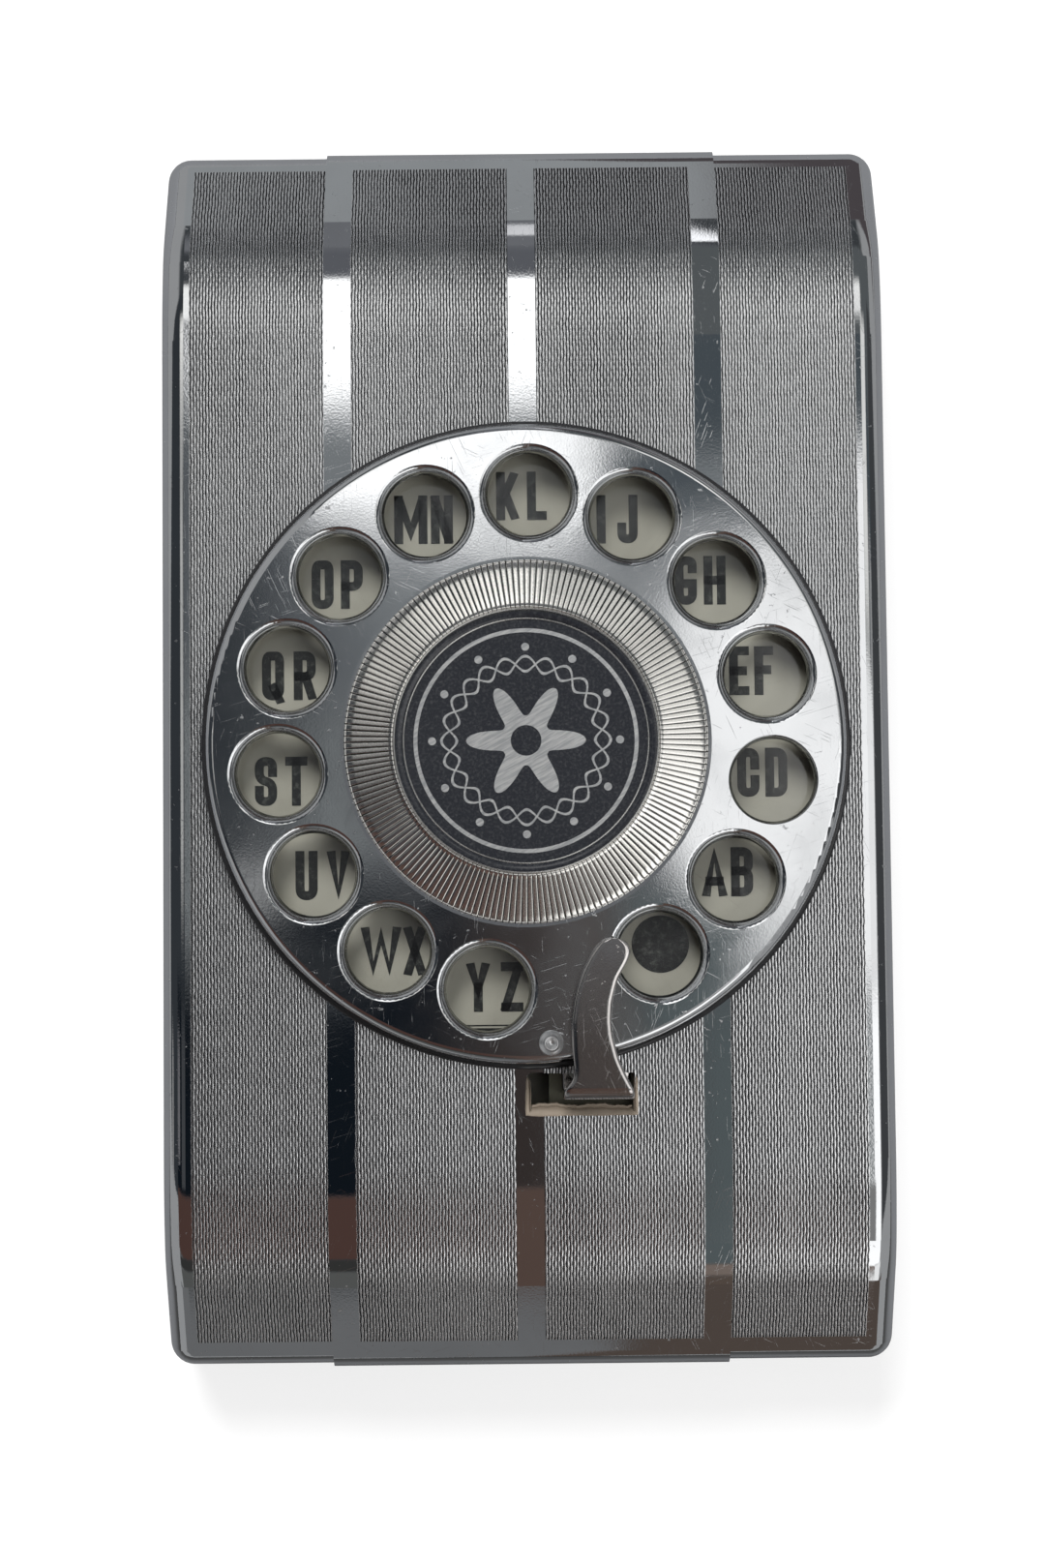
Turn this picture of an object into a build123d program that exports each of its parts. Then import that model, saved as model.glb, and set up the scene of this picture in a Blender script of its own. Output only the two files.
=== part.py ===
# Pop up telephone index: a flat box of index leaves under a chromed lid that carries a letter dial.
# Frame: millimetres, X to the right, Y to the rear (hinge side), Z up, origin under the middle.
# Turning the dial carries a pick hook along the leaves' tabs; sliding the finger stop frees the lid.
import os
from math import atan, ceil, cos, floor, pi, radians, sin, sqrt, tan

from build123d import *

os.makedirs("parts", exist_ok=True)

# ---------------------------------------------------------------- driving dimensions: case and lid
half_width = 54.0            # middle of the case to its side
half_length = 92.0           # middle of the case to the end of the raised lid panel
lid_top = 26.0               # top of the raised lid panel
panel_half_width = 29.5      # raised panel, middle to side
panel_step = 0.5             # the raised panel stands this far proud of the lid's fields
sheet = 0.8                  # sheet metal of the lid, hinge and mechanism parts
running_gap = 0.3            # between parts that pass each other
contact_gap = 0.1            # between a sliding part and the guide that carries it
bore_gap = 0.05              # radial, shaft in its bush
rivet_radius = 1.0
rivet_head = 1.8
rivet_head_height = 0.5

end_length = 31.0            # rolled part of the lid, from the end of the flat to its end
end_radius_long = 70.0       # first, gentle roll
end_angle_long = 10.0
end_radius_short = 22.0      # second, tighter roll
end_angle_short = 27.0
lid_corner = 4.4             # rounding of the lid's upper front and rear edges
lid_edge = 3.6               # rounding of its side edges and upright corners
skirt_bottom = 9.5           # lower edge of the lid's skirt

foot_height = 1.2
foot_radius = 4.5
foot_inset = 14.0            # from the tray's sides and ends to a foot's centre
tray_wall = 1.6
tray_floor = 1.2
tray_corner = 4.0
tray_chamfer = 0.6

# ---------------------------------------------------------------- hinge and its springs
pin_radius = 1.1
knuckle_radius = 2.2
pin_height = 7.4
pin_length = 92.0
hinge_pattern = "BLSLBLSLB"  # base knuckle, lid knuckle, spring, along the pin
hinge_flange = 5.0           # pin to the far edge of each hinge leaf
hinge_spine = 1.0            # strip left of each leaf beside the springs
hinge_rivet_radius = 0.7
hinge_rivet_head = 1.2
hinge_rivet_places = (-36.0, -13.0, 13.0, 36.0)
spring_wire = 0.3            # radius of the lid springs' wire
spring_radius = 1.8
spring_pitch = 1.2
spring_turns = 6 + 1 / 6     # the last sixth turns the upper leg towards the lid
spring_leg = 3.2

# ---------------------------------------------------------------- index leaves and their binder
leaf_count = 13
leaf_thickness = 0.45
leaf_pitch = 0.78
leaf_margin = 4.0            # leaf's side edge to the case's side
leaf_bottom = 3.8            # underside of the lowest leaf
leaf_front_inset = 15.4      # lid's front end to the leaves' front edge between the tabs
leaf_corner = 3.0
tab_length = 3.3
tab_width = 2.4
ring_radius = 9.5            # centre line of a binder ring
ring_wire = 0.85             # radius of its wire
ring_place = 25.0            # middle to each ring
ring_hole = 1.7              # radius of the leaves' punched holes
binder_gap = 1.15            # binder plate to the tray's rear wall
leaf_rear_land = 5.3         # binder's axis to the leaves' rear edge
binder_plate_half = 35.0
binder_plate_thickness = 0.8
card_thickness = 0.4
card_margin = 3.0

# ---------------------------------------------------------------- dial
hole_count = 14
hole_radius = 6.5
hole_bridge = 2.35           # metal between two finger holes
hole_pitch = 24.55           # degrees between finger holes
home_angle = -58.5           # the first hole, beside the finger stop
wheel_border = 10.3          # hole's centre to the finger wheel's edge
base_rim = 0.9               # the black ring stands out this far around the wheel
dial_wall = 2.4
dial_lip_round = 0.4
dial_floor = 1.0
dial_base_top = 31.0
wheel_top = 34.4
wheel_fall = 0.5             # the wheel drops this much from the hub to its rim
wheel_sheet = 1.0
wheel_rim_round = 1.2
collar_wall = 1.0
collar_depth = 1.6
hole_round = 0.8
letter_card = 0.5
cover_thickness = 1.0
dial_screw_inset = 6.9       # base ring's inner wall to its screws
dial_screw_count = 4
dial_screw_angle = 45.0
dial_screw_head = 2.4
dial_screw_head_height = 1.4

stud_radius = 1.6
stud_inset = 2.9             # wheel's edge to the stud's centre
stud_angle = -85.8
stud_top = 35.7
stud_dimple = 0.9
stud_round = 0.4

hub_land = 3.3               # finger holes to the hub ring
flute_length = 7.1
hub_edge = 0.5
hub_rise = 1.7
bezel_width = 0.9
bezel_rise = 2.0
bezel_ledge = 0.8
bezel_round = 0.3
hub_plate_thickness = 0.6
spindle_radius = 2.5
spindle_stub = 2.0
spindle_flange = 9.0
spindle_flange_height = 1.5
bush_radius = 4.5
bush_flange = 8.0
bush_flange_height = 1.5
nut_radius = 4.0
nut_height = 0.8
clip_radius = 4.2

# ---------------------------------------------------------------- pinion, rack and pick hook
gear_module = 0.8
pinion_teeth = 18
pressure_angle = 20.0
gear_thickness = 2.4
gear_backlash = 0.06
gear_root = 1.25             # tooth depth below the pitch line, in modules
frame_setback = 1.75         # frame's front edge behind the pitch line, in modules
pinion_hub = 4.0
rack_depth = 4.3             # rack's back to its pitch line
rack_reach = 4.0             # rack's right end past the pinion's axis at home
rack_rivet_shares = (0.06, 0.5, 0.94)
frame_level = 17.0           # underside of the selector frame
frame_margin = 1.8           # case's side to the outer side of the frame's leg at home
frame_leg = 3.2
frame_back = 14.0            # rear edge of the frame's strip under the rack
crossbar_half = 2.0
selector_home = -20.0        # pick hook's middle at home
hook_half = 1.1
hook_gap = 0.5               # pick hook to the tabs' front ends
hook_foot_bottom = 3.05
hook_foot = 0.45
hook_overlap = 2.6           # the foot reaches this far under a tab
guide_stud = 1.5
guide_stud_head = 2.4
guide_stud_place = -24.0
rail_level = 18.9            # underside of the rail that the frame's stud runs in
rail_half = 2.2
rail_margin = 4.0

# ---------------------------------------------------------------- finger stop and lid latch
stop_travel = 4.5
stop_top = 36.9
stop_sheet = 0.9
stop_foot_x = 9.9
stop_foot_half = 5.1
stop_foot_clear = 4.1        # black ring to the foot's front face
stop_tip_offset = (-6.71, -0.42)  # from the home hole's centre
stop_tip_radius = 2.75
stop_tip_lean = 0.25         # sideways slope of the arm's edges at the tip
stop_waist_left = 1.45       # the waist is this far left of the foot's middle
stop_waist_inset = 4.1       # and this far inside the wheel's edge
stop_waist_half = 2.8
stop_neck_left = 0.3
stop_neck_clear = 0.9        # black ring to the neck
stop_neck_half = 3.4
stop_toe = 6.0
window_gap = 0.6             # lid window to the sides of the stop's foot, over its travel
window_ahead = 2.6           # the window reaches this far ahead of the foot's front face
window_behind = 3.4
slide_level = 20.8           # underside of the latch slide, behind its joggle
slide_drop = 2.5
slide_half = 7.0
slide_joggle_run = 2.5
latch_inset = 9.7            # lid's front end to the rear face of the latch's leg
latch_leg_half = 3.0
latch_nose = 4.0
latch_nose_height = 2.2
latch_bottom = 7.0
latch_engage = 3.4
latch_ramp = 1.2
catch_thickness = 1.4
catch_height = 12.0
catch_post_width = 3.0
catch_foot = 4.0
latch_stud_land = 1.4        # window to the rear stud's centre
latch_stud_pitch = 5.6
latch_stud_radius = 1.2
latch_stud_head = 2.2
stop_spring_radius = 1.1
stop_spring_wire = 0.2
stop_spring_length = 12.0
stop_spring_pitch = 0.8
lug_half = 2.0
stop_bend = 1.7              # outer radius of the finger stop's bend

# ---------------------------------------------------------------- levels and places that follow
end_flat = half_length - end_length
leaf_half_width = half_width - leaf_margin
leaf_front = leaf_front_inset - half_length
hole_circle_radius = (hole_radius + hole_bridge / 2) / sin(radians(hole_pitch / 2))
dial_radius = hole_circle_radius + wheel_border
dial_base_radius = dial_radius + base_rim
stud_circle_radius = dial_radius - stud_inset
hub_outer = hole_circle_radius - hole_radius - hub_land
hub_inner = hub_outer - flute_length
frame_side = frame_margin - half_width
stop_foot_front = -dial_base_radius - stop_foot_clear
window_front = stop_foot_front - window_ahead
window_rear = stop_foot_front + window_behind
rear_stud_y = window_front - latch_stud_land
front_stud_y = rear_stud_y - latch_stud_pitch
stop_spring_y = (rear_stud_y + front_stud_y) / 2
crossbar_y = front_stud_y - latch_stud_head - guide_stud_head - running_gap
slide_joggle = crossbar_y - rail_half - running_gap
latch_y = latch_inset - half_length
field_top = lid_top - panel_step
lid_under = field_top - sheet
inner_inset = lid_top - lid_under
pin_y = half_length - inner_inset - knuckle_radius
tray_rear = pin_y - knuckle_radius
tray_front = panel_step - half_length
tray_middle = (tray_rear + tray_front) / 2
tray_length = tray_rear - tray_front
tray_inside = foot_height + tray_floor
tray_top = skirt_bottom - running_gap
stack_height = (leaf_count - 1) * leaf_pitch + leaf_thickness
ring_height = leaf_bottom + stack_height / 2
binder_plate_top = tray_inside + binder_plate_thickness
binder_plate_depth = ring_radius + ring_wire
ring_centre = tray_rear - tray_wall - binder_gap - binder_plate_depth
leaf_rear = ring_centre - leaf_rear_land
tab_front = leaf_front - tab_length
pinion_radius = gear_module * pinion_teeth / 2
letter_step = radians(hole_pitch) * pinion_radius
selector_travel = (hole_count - 1) * letter_step
frame_top = frame_level + sheet
gear_bottom = frame_top + contact_gap
gear_top = gear_bottom + gear_thickness
card_bottom = lid_top + dial_floor
cover_bottom = card_bottom + letter_card
wheel_under = wheel_top - wheel_sheet
flange_bottom = wheel_under - spindle_flange_height
bush_bottom = lid_under - bush_flange_height
dial_inner = dial_base_radius - dial_wall
dial_screw_circle_radius = dial_inner - dial_screw_inset
hub_plate_bottom = wheel_top + nut_height + contact_gap
slide_top = slide_level + sheet
slide_front_level = slide_level - slide_drop
toe_top = slide_top + stop_sheet
foot_left = stop_foot_x - stop_foot_half
foot_right = stop_foot_x + stop_foot_half
stop_under = stop_top - stop_sheet
foot_rear_face = stop_foot_front + stop_sheet
toe_rear = foot_rear_face + stop_toe
slide_right = stop_foot_x + slide_half
hook_front = tab_front - hook_gap - sheet
segment = pin_length / len(hinge_pattern)
hinge_rivet_height = pin_height - (hinge_flange + knuckle_radius + running_gap) / 2


def save(piece, name):
    """Label a finished piece and write it to its own file."""
    piece.part.label = name
    export_step(piece.part, f"parts/{name}.step")


def lid_outline(inset, bottom):
    """Side view of the lid: flat top, two rolls, a straight fall and a rounded end, made inset smaller."""
    long_turn, short_turn = end_angle_long, end_angle_short - end_angle_long
    fall = radians(end_angle_short)
    corner = lid_corner - inset
    end = half_length - inset
    with BuildSketch(Plane.YZ) as outline:
        with BuildLine():
            Line((-end_flat, lid_top - inset), (end_flat, lid_top - inset))
            ends = []
            for side in (1, -1):
                roll = JernArc((side * end_flat, lid_top - inset), (side, 0),
                               end_radius_long - inset, -side * long_turn)
                roll = JernArc(roll @ 1, roll % 1, end_radius_short - inset, -side * short_turn)
                start = roll @ 1
                run = end - corner * (1 - sin(fall)) - abs(start.X)
                knee = (start.X + side * run, start.Y - run * tan(fall))
                Line(start, knee)
                turn = JernArc(knee, (side * cos(fall), -sin(fall)), corner, side * (end_angle_short - 90))
                ends.append(Line(turn @ 1, (side * end, bottom)) @ 1)
            Line(*ends)
        make_face()
    return outline.sketch


def wound_wire(start, x_dir, z_dir, pitch, length, radius, legs):
    """Path of a wound wire along z_dir, with a straight leg of the given length at each end."""
    coil = Plane(start, x_dir=x_dir, z_dir=z_dir) * Helix(pitch, length, radius)
    with BuildLine() as wire:
        add(coil)
        if legs:
            Line((coil @ 0) - (coil % 0) * legs, coil @ 0)
            Line(coil @ 1, (coil @ 1) + (coil % 1) * legs)
    return wire.wires()[0]


# ================================================================ base

# Four rubber feet, stuck to the tray's underside.
with BuildPart() as rubber_feet:
    with BuildSketch():
        with Locations((0, tray_middle)):
            with GridLocations(2 * (half_width - foot_inset), tray_length - 2 * foot_inset, 2, 2):
                Circle(foot_radius)
    extrude(amount=foot_height)
save(rubber_feet, "rubber_feet")

# Shallow sheet metal tray, open at the top.
with BuildPart() as base_tray:
    with BuildSketch(Plane.XY.offset(foot_height)):
        with Locations((0, tray_middle)):
            RectangleRounded(2 * half_width, tray_length, tray_corner)
    extrude(amount=tray_top - foot_height)
    chamfer(base_tray.faces().sort_by(Axis.Z)[0].edges(), tray_chamfer)
    with BuildSketch(Plane.XY.offset(tray_inside)):
        with Locations((0, tray_middle)):
            RectangleRounded(2 * (half_width - tray_wall), tray_length - 2 * tray_wall,
                             tray_corner - tray_wall)
    extrude(amount=tray_top - tray_inside, mode=Mode.SUBTRACT)
    with BuildSketch(Plane.XY.offset(foot_height)):
        with Locations(*[(x, ring_centre) for x in (-ring_place / 2, ring_place / 2)]):
            Circle(rivet_radius)
    extrude(amount=tray_floor, mode=Mode.SUBTRACT)
    with BuildSketch(Plane.XZ.offset(-tray_rear)):
        with Locations(*[(x, hinge_rivet_height) for x in hinge_rivet_places]):
            Circle(hinge_rivet_radius)
    extrude(amount=tray_wall, mode=Mode.SUBTRACT)
save(base_tray, "base_tray")

# Printed card on the tray's floor, the page under the last leaf.
card_front = leaf_front
card_rear = ring_centre - binder_plate_depth - running_gap
with BuildPart() as floor_card:
    with BuildSketch(Plane.XY.offset(tray_inside)):
        with Locations((0, (card_front + card_rear) / 2)):
            RectangleRounded(2 * (half_width - tray_wall - card_margin), card_rear - card_front, leaf_corner)
    extrude(amount=card_thickness)
save(floor_card, "floor_card")

# Steel plate that carries the two binder rings, riveted to the tray.
with BuildPart() as binder_plate:
    with BuildSketch(Plane.XY.offset(tray_inside)):
        with Locations((0, ring_centre)):
            RectangleRounded(2 * binder_plate_half, 2 * binder_plate_depth, tray_corner)
        with Locations(*[(x, ring_centre) for x in (-ring_place / 2, ring_place / 2)]):
            Circle(rivet_radius, mode=Mode.SUBTRACT)
    extrude(amount=binder_plate_thickness)
save(binder_plate, "binder_plate")

with BuildPart() as binder_rivets:
    for x in (-ring_place / 2, ring_place / 2):
        with Locations((x, ring_centre, 0)):
            with Locations((0, 0, foot_height - rivet_head_height)):
                Cylinder(rivet_head, rivet_head_height, align=(Align.CENTER, Align.CENTER, Align.MIN))
            with Locations((0, 0, foot_height)):
                Cylinder(rivet_radius, binder_plate_top - foot_height,
                         align=(Align.CENTER, Align.CENTER, Align.MIN))
            with Locations((0, 0, binder_plate_top)):
                Cylinder(rivet_head, rivet_head_height, align=(Align.CENTER, Align.CENTER, Align.MIN))
save(binder_rivets, "binder_rivets")

# Two wire rings that the leaves turn on, cut flat where they are welded to the plate.
with BuildPart() as binder_rings:
    with Locations(*[Location((x, ring_centre, ring_height), (0, 90, 0)) for x in (-ring_place, ring_place)]):
        Torus(ring_radius, ring_wire)
    split(bisect_by=Plane.XY.offset(binder_plate_top), keep=Keep.TOP)
save(binder_rings, "binder_rings")


def hinge_leaf(letter, bore, wall_side, flange_side):
    """One hinge leaf: knuckles where the pattern has its letter, on a strip narrowed beside a spring."""
    face_y = pin_y + wall_side * knuckle_radius
    inner_y = face_y - wall_side * sheet
    middle_y = (face_y + inner_y) / 2
    far_z = pin_height + flange_side * hinge_flange
    left = -pin_length / 2
    with BuildPart() as leaf:
        with BuildSketch(Plane.YZ.offset(left)):
            with Locations((middle_y, far_z - flange_side * hinge_spine / 2)):
                Rectangle(sheet, hinge_spine)
        extrude(amount=pin_length)
        for number, kind in enumerate(hinge_pattern):
            if kind == "S":
                continue
            reach = knuckle_radius + running_gap if kind != letter else 0
            with BuildSketch(Plane.YZ.offset(left + number * segment + running_gap / 2)):
                with Locations((middle_y, pin_height + flange_side * (hinge_flange + reach) / 2)):
                    Rectangle(sheet, hinge_flange - reach)
                if kind == letter:
                    with Locations((pin_y, pin_height)):
                        Circle(knuckle_radius)
                        Circle(bore, mode=Mode.SUBTRACT)
            extrude(amount=segment - running_gap)
        if letter == "B":
            with BuildSketch(Plane.XZ.offset(-inner_y)):
                with Locations(*[(x, hinge_rivet_height) for x in hinge_rivet_places]):
                    Circle(hinge_rivet_radius)
            extrude(amount=sheet, mode=Mode.SUBTRACT)
    return leaf


# Base half of the hinge, riveted to the tray's rear wall.
base_hinge_leaf = hinge_leaf("B", pin_radius, -1, -1)
save(base_hinge_leaf, "base_hinge_leaf")

wall_inner = tray_rear - tray_wall
leaf_outer = tray_rear + sheet
with BuildPart() as hinge_rivets:
    for radius, front, rear in ((hinge_rivet_head, wall_inner - rivet_head_height, wall_inner),
                                (hinge_rivet_radius, wall_inner, leaf_outer),
                                (hinge_rivet_head, leaf_outer, leaf_outer + rivet_head_height)):
        with BuildSketch(Plane.XZ.offset(-rear)):
            with Locations(*[(x, hinge_rivet_height) for x in hinge_rivet_places]):
                Circle(radius)
        extrude(amount=rear - front)
save(hinge_rivets, "hinge_rivets")

with BuildPart() as hinge_pin:
    with BuildSketch(Plane.YZ.offset(-pin_length / 2)):
        with Locations((pin_y, pin_height)):
            Circle(pin_radius)
    extrude(amount=pin_length)
save(hinge_pin, "hinge_pin")

# Two torsion springs on the pin: one leg lies on the tray's rear wall, the other pushes the lid's.
coil_length = spring_turns * spring_pitch
spring_places = {"lid_spring_left": hinge_pattern.find("S"), "lid_spring_right": hinge_pattern.rfind("S")}
for name, number in spring_places.items():
    middle = -pin_length / 2 + (number + 0.5) * segment
    start = (middle + coil_length / 2, pin_y, pin_height)
    path = wound_wire(start, (0, -1, 0), (-1, 0, 0), spring_pitch, coil_length, spring_radius, spring_leg)
    with BuildPart() as lid_spring:
        with BuildSketch(Plane(path @ 0, z_dir=path % 0)):
            Circle(spring_wire)
        sweep(path=path)
    save(lid_spring, name)
print(f"lid springs: {spring_turns:.2f} turns")
print(f"lid springs: least gap between turns {spring_pitch - 2 * spring_wire:.2f} mm")

# Catch post: its arm stands over the latch's nose while the lid is shut.
nose_end = stop_foot_x + latch_leg_half + latch_nose
arm_left = nose_end - latch_engage
post_left = nose_end + window_gap
post_right = post_left + catch_post_width
post_middle = (post_left + post_right) / 2
arm_bottom = latch_bottom + latch_nose_height + running_gap
catch_rear = latch_y + (catch_thickness - sheet) / 2
catch_front = catch_rear - catch_thickness
with BuildPart() as catch_post:
    with BuildSketch(Plane.XZ.offset(-catch_rear)):
        with BuildLine():
            Polyline((post_left, tray_inside), (post_right, tray_inside), (post_right, catch_height),
                     (arm_left + latch_ramp, catch_height), (arm_left, catch_height - latch_ramp),
                     (arm_left, arm_bottom), (post_left, arm_bottom), close=True)
        make_face()
    extrude(amount=catch_thickness)
    with BuildSketch(Plane.XY.offset(tray_inside)):
        with Locations((post_middle, catch_front)):
            Rectangle(post_right - post_left, catch_foot, align=(Align.CENTER, Align.MAX))
        with Locations((post_middle, catch_front - catch_foot / 2)):
            Circle(hinge_rivet_radius, mode=Mode.SUBTRACT)
    extrude(amount=sheet)
save(catch_post, "catch_post")

with BuildPart() as catch_rivet:
    with Locations((post_middle, catch_front - catch_foot / 2, tray_inside)):
        Cylinder(hinge_rivet_radius, sheet, align=(Align.CENTER, Align.CENTER, Align.MIN))
    with Locations((post_middle, catch_front - catch_foot / 2, tray_inside + sheet)):
        Cylinder(hinge_rivet_head, rivet_head_height, align=(Align.CENTER, Align.CENTER, Align.MIN))
save(catch_rivet, "catch_rivet")

# ================================================================ index leaves

# Thirteen thin cards, each with one tab, a step to the right of the tab above it.
for number in range(1, leaf_count + 1):
    leaf_z = leaf_bottom + (leaf_count - number) * leaf_pitch
    above_axis = leaf_z + leaf_thickness / 2 - ring_height
    hole_y = ring_centre - sqrt(ring_radius**2 - above_axis**2)
    tab_x = selector_home + number * letter_step
    with BuildPart() as index_leaf:
        with BuildSketch(Plane.XY.offset(leaf_z)):
            with Locations((0, (leaf_front + leaf_rear) / 2)):
                RectangleRounded(2 * leaf_half_width, leaf_rear - leaf_front, leaf_corner)
            with Locations((tab_x, leaf_front - tab_length / 2)):
                Rectangle(tab_width, tab_length)
            with Locations((-ring_place, hole_y), (ring_place, hole_y)):
                Circle(ring_hole, mode=Mode.SUBTRACT)
        extrude(amount=leaf_thickness)
    save(index_leaf, f"index_leaf_{number:02d}")

# ================================================================ lid

window_left = foot_left - stop_travel - window_gap
window_right = foot_right + window_gap

hollow_profile = lid_outline(inner_inset, 0)
field_profile = lid_outline(panel_step, skirt_bottom)
panel_profile = lid_outline(0, skirt_bottom)

# Hollow of the lid, with the same rolls one sheet further in.
with BuildPart() as lid_hollow:
    extrude(hollow_profile, amount=half_width - sheet, both=True)
    rounded = lid_hollow.faces().filter_by(Axis.X).edges()
    fillet(rounded.filter_by(lambda e: e.center().Z > sheet), lid_edge - sheet)

# Pressed lid: rolled ends, rounded sides, a raised panel along the middle and a window for the stop.
with BuildPart() as lid_shell:
    extrude(field_profile, amount=half_width, both=True)
    rounded = lid_shell.faces().filter_by(Axis.X).edges()
    fillet(rounded.filter_by(lambda e: e.center().Z > skirt_bottom + contact_gap), lid_edge)
    extrude(panel_profile, amount=panel_half_width, both=True)
    add(lid_hollow.part, mode=Mode.SUBTRACT)
    with BuildSketch(Plane.XY.offset(lid_under)):
        with Locations(((window_left + window_right) / 2, (window_front + window_rear) / 2)):
            RectangleRounded(window_right - window_left, window_rear - window_front, sheet)
        Circle(bush_radius)
        with PolarLocations(dial_screw_circle_radius, dial_screw_count, start_angle=dial_screw_angle):
            Circle(rivet_radius)
    extrude(amount=lid_top - lid_under, mode=Mode.SUBTRACT)
save(lid_shell, "lid_shell")

# Lid half of the hinge, welded to the lid's rear wall.
lid_hinge_leaf = hinge_leaf("L", pin_radius + bore_gap, 1, 1)
save(lid_hinge_leaf, "lid_hinge_leaf")

# Black dial base: a floor for the letter card and a wall around the wheel's foot.
with BuildPart() as dial_base:
    with BuildSketch(Plane.XY.offset(field_top)):
        Circle(dial_base_radius)
        Rectangle(2 * panel_half_width, 2 * dial_base_radius, mode=Mode.SUBTRACT)
    extrude(amount=panel_step)
    with BuildSketch(Plane.XY.offset(lid_top)):
        Circle(dial_base_radius)
    extrude(amount=dial_base_top - lid_top)
    with BuildSketch(Plane.XY.offset(card_bottom)):
        Circle(dial_inner)
    extrude(amount=dial_base_top - card_bottom, mode=Mode.SUBTRACT)
    fillet(dial_base.edges().group_by(Axis.Z)[-1], dial_lip_round)
    with BuildSketch(Plane.XY.offset(lid_top)):
        Circle(bush_radius)
    extrude(amount=dial_floor, mode=Mode.SUBTRACT)
    with BuildSketch(Plane.XY.offset(lid_top)):
        with PolarLocations(dial_screw_circle_radius, dial_screw_count, start_angle=dial_screw_angle):
            Circle(rivet_radius)
    extrude(amount=dial_floor - bore_gap, mode=Mode.SUBTRACT)
save(dial_base, "dial_base")

# Four screws from below that hold the dial base on the lid.
with BuildPart() as dial_base_screws:
    with BuildSketch(Plane.XY.offset(lid_under - dial_screw_head_height)):
        with PolarLocations(dial_screw_circle_radius, dial_screw_count, start_angle=dial_screw_angle):
            Circle(dial_screw_head)
    extrude(amount=dial_screw_head_height)
    with BuildSketch(Plane.XY.offset(lid_under)):
        with PolarLocations(dial_screw_circle_radius, dial_screw_count, start_angle=dial_screw_angle):
            Circle(rivet_radius)
    extrude(amount=card_bottom - bore_gap - lid_under)
save(dial_base_screws, "dial_base_screws")

# Printed letter card and the clear cover over it.
for name, bottom, thickness in (("letter_card", card_bottom, letter_card),
                                ("clear_cover", cover_bottom, cover_thickness)):
    with BuildPart() as disc:
        with BuildSketch(Plane.XY.offset(bottom)):
            Circle(dial_inner - contact_gap)
            Circle(bush_radius, mode=Mode.SUBTRACT)
        extrude(amount=thickness)
    save(disc, name)

# Brass bush, flanged under the lid.
with BuildPart() as spindle_bush:
    with BuildSketch(Plane.XY.offset(bush_bottom)):
        Circle(bush_flange)
    extrude(amount=bush_flange_height)
    with BuildSketch(Plane.XY.offset(lid_under)):
        Circle(bush_radius)
    extrude(amount=flange_bottom - running_gap - lid_under)
    with BuildSketch(Plane.XY.offset(bush_bottom)):
        Circle(spindle_radius + bore_gap)
    extrude(amount=flange_bottom - bush_bottom, mode=Mode.SUBTRACT)
save(spindle_bush, "spindle_bush")

# Angle rail that carries the rack's frame, welded under the lid behind the rack.
rail_wall = frame_back + contact_gap
rail_front = rail_wall - sheet - rack_depth
rail_shelf = frame_level - contact_gap
rail_right = rack_reach + (rack_reach - frame_side) / 2
rail_left = -pinion_radius - (rack_reach - frame_side) / 2
with BuildPart() as rack_rail:
    with BuildSketch(Plane.YZ.offset(rail_left)):
        with BuildLine():
            Polyline((rail_front, rail_shelf), (rail_wall, rail_shelf),
                     (rail_wall, lid_under), (rail_wall + rack_depth, lid_under),
                     (rail_wall + rack_depth, lid_under - sheet), (rail_wall + sheet, lid_under - sheet),
                     (rail_wall + sheet, rail_shelf - sheet), (rail_front, rail_shelf - sheet), close=True)
        make_face()
    extrude(amount=rail_right - rail_left)
save(rack_rail, "rack_rail")

# Slotted rail that the frame's front stud runs in, hung under the lid by its two ends.
slot_left = guide_stud_place - guide_stud - contact_gap
slot_right = guide_stud_place + selector_travel + guide_stud + contact_gap
arm_rail_left = slot_left - rail_margin
arm_rail_right = slot_right + rail_margin
with BuildPart() as arm_rail:
    with BuildSketch(Plane.XY.offset(rail_level)):
        with Locations(((arm_rail_left + arm_rail_right) / 2, crossbar_y)):
            Rectangle(arm_rail_right - arm_rail_left, 2 * rail_half)
        with Locations(((slot_left + slot_right) / 2, crossbar_y)):
            Rectangle(slot_right - slot_left, 2 * (guide_stud + contact_gap), mode=Mode.SUBTRACT)
    extrude(amount=sheet)
    with BuildSketch(Plane.XY.offset(rail_level)):
        with Locations((arm_rail_left + sheet / 2, crossbar_y), (arm_rail_right - sheet / 2, crossbar_y)):
            Rectangle(sheet, 2 * rail_half)
    extrude(amount=lid_under - rail_level)
    add(lid_hollow.part, mode=Mode.INTERSECT)
save(arm_rail, "arm_rail")

# Two headed studs under the lid; the latch slide hangs on them by its slots.
stud_x = stop_foot_x - slide_half + latch_stud_head + running_gap + sheet
with BuildPart() as latch_studs:
    for y in (rear_stud_y, front_stud_y):
        with Locations((stud_x, y, slide_level - contact_gap)):
            Cylinder(latch_stud_head, sheet, align=(Align.CENTER, Align.CENTER, Align.MAX))
            Cylinder(latch_stud_radius, lid_under - slide_level + contact_gap,
                     align=(Align.CENTER, Align.CENTER, Align.MIN))
    add(lid_hollow.part, mode=Mode.INTERSECT)
save(latch_studs, "latch_studs")

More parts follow.
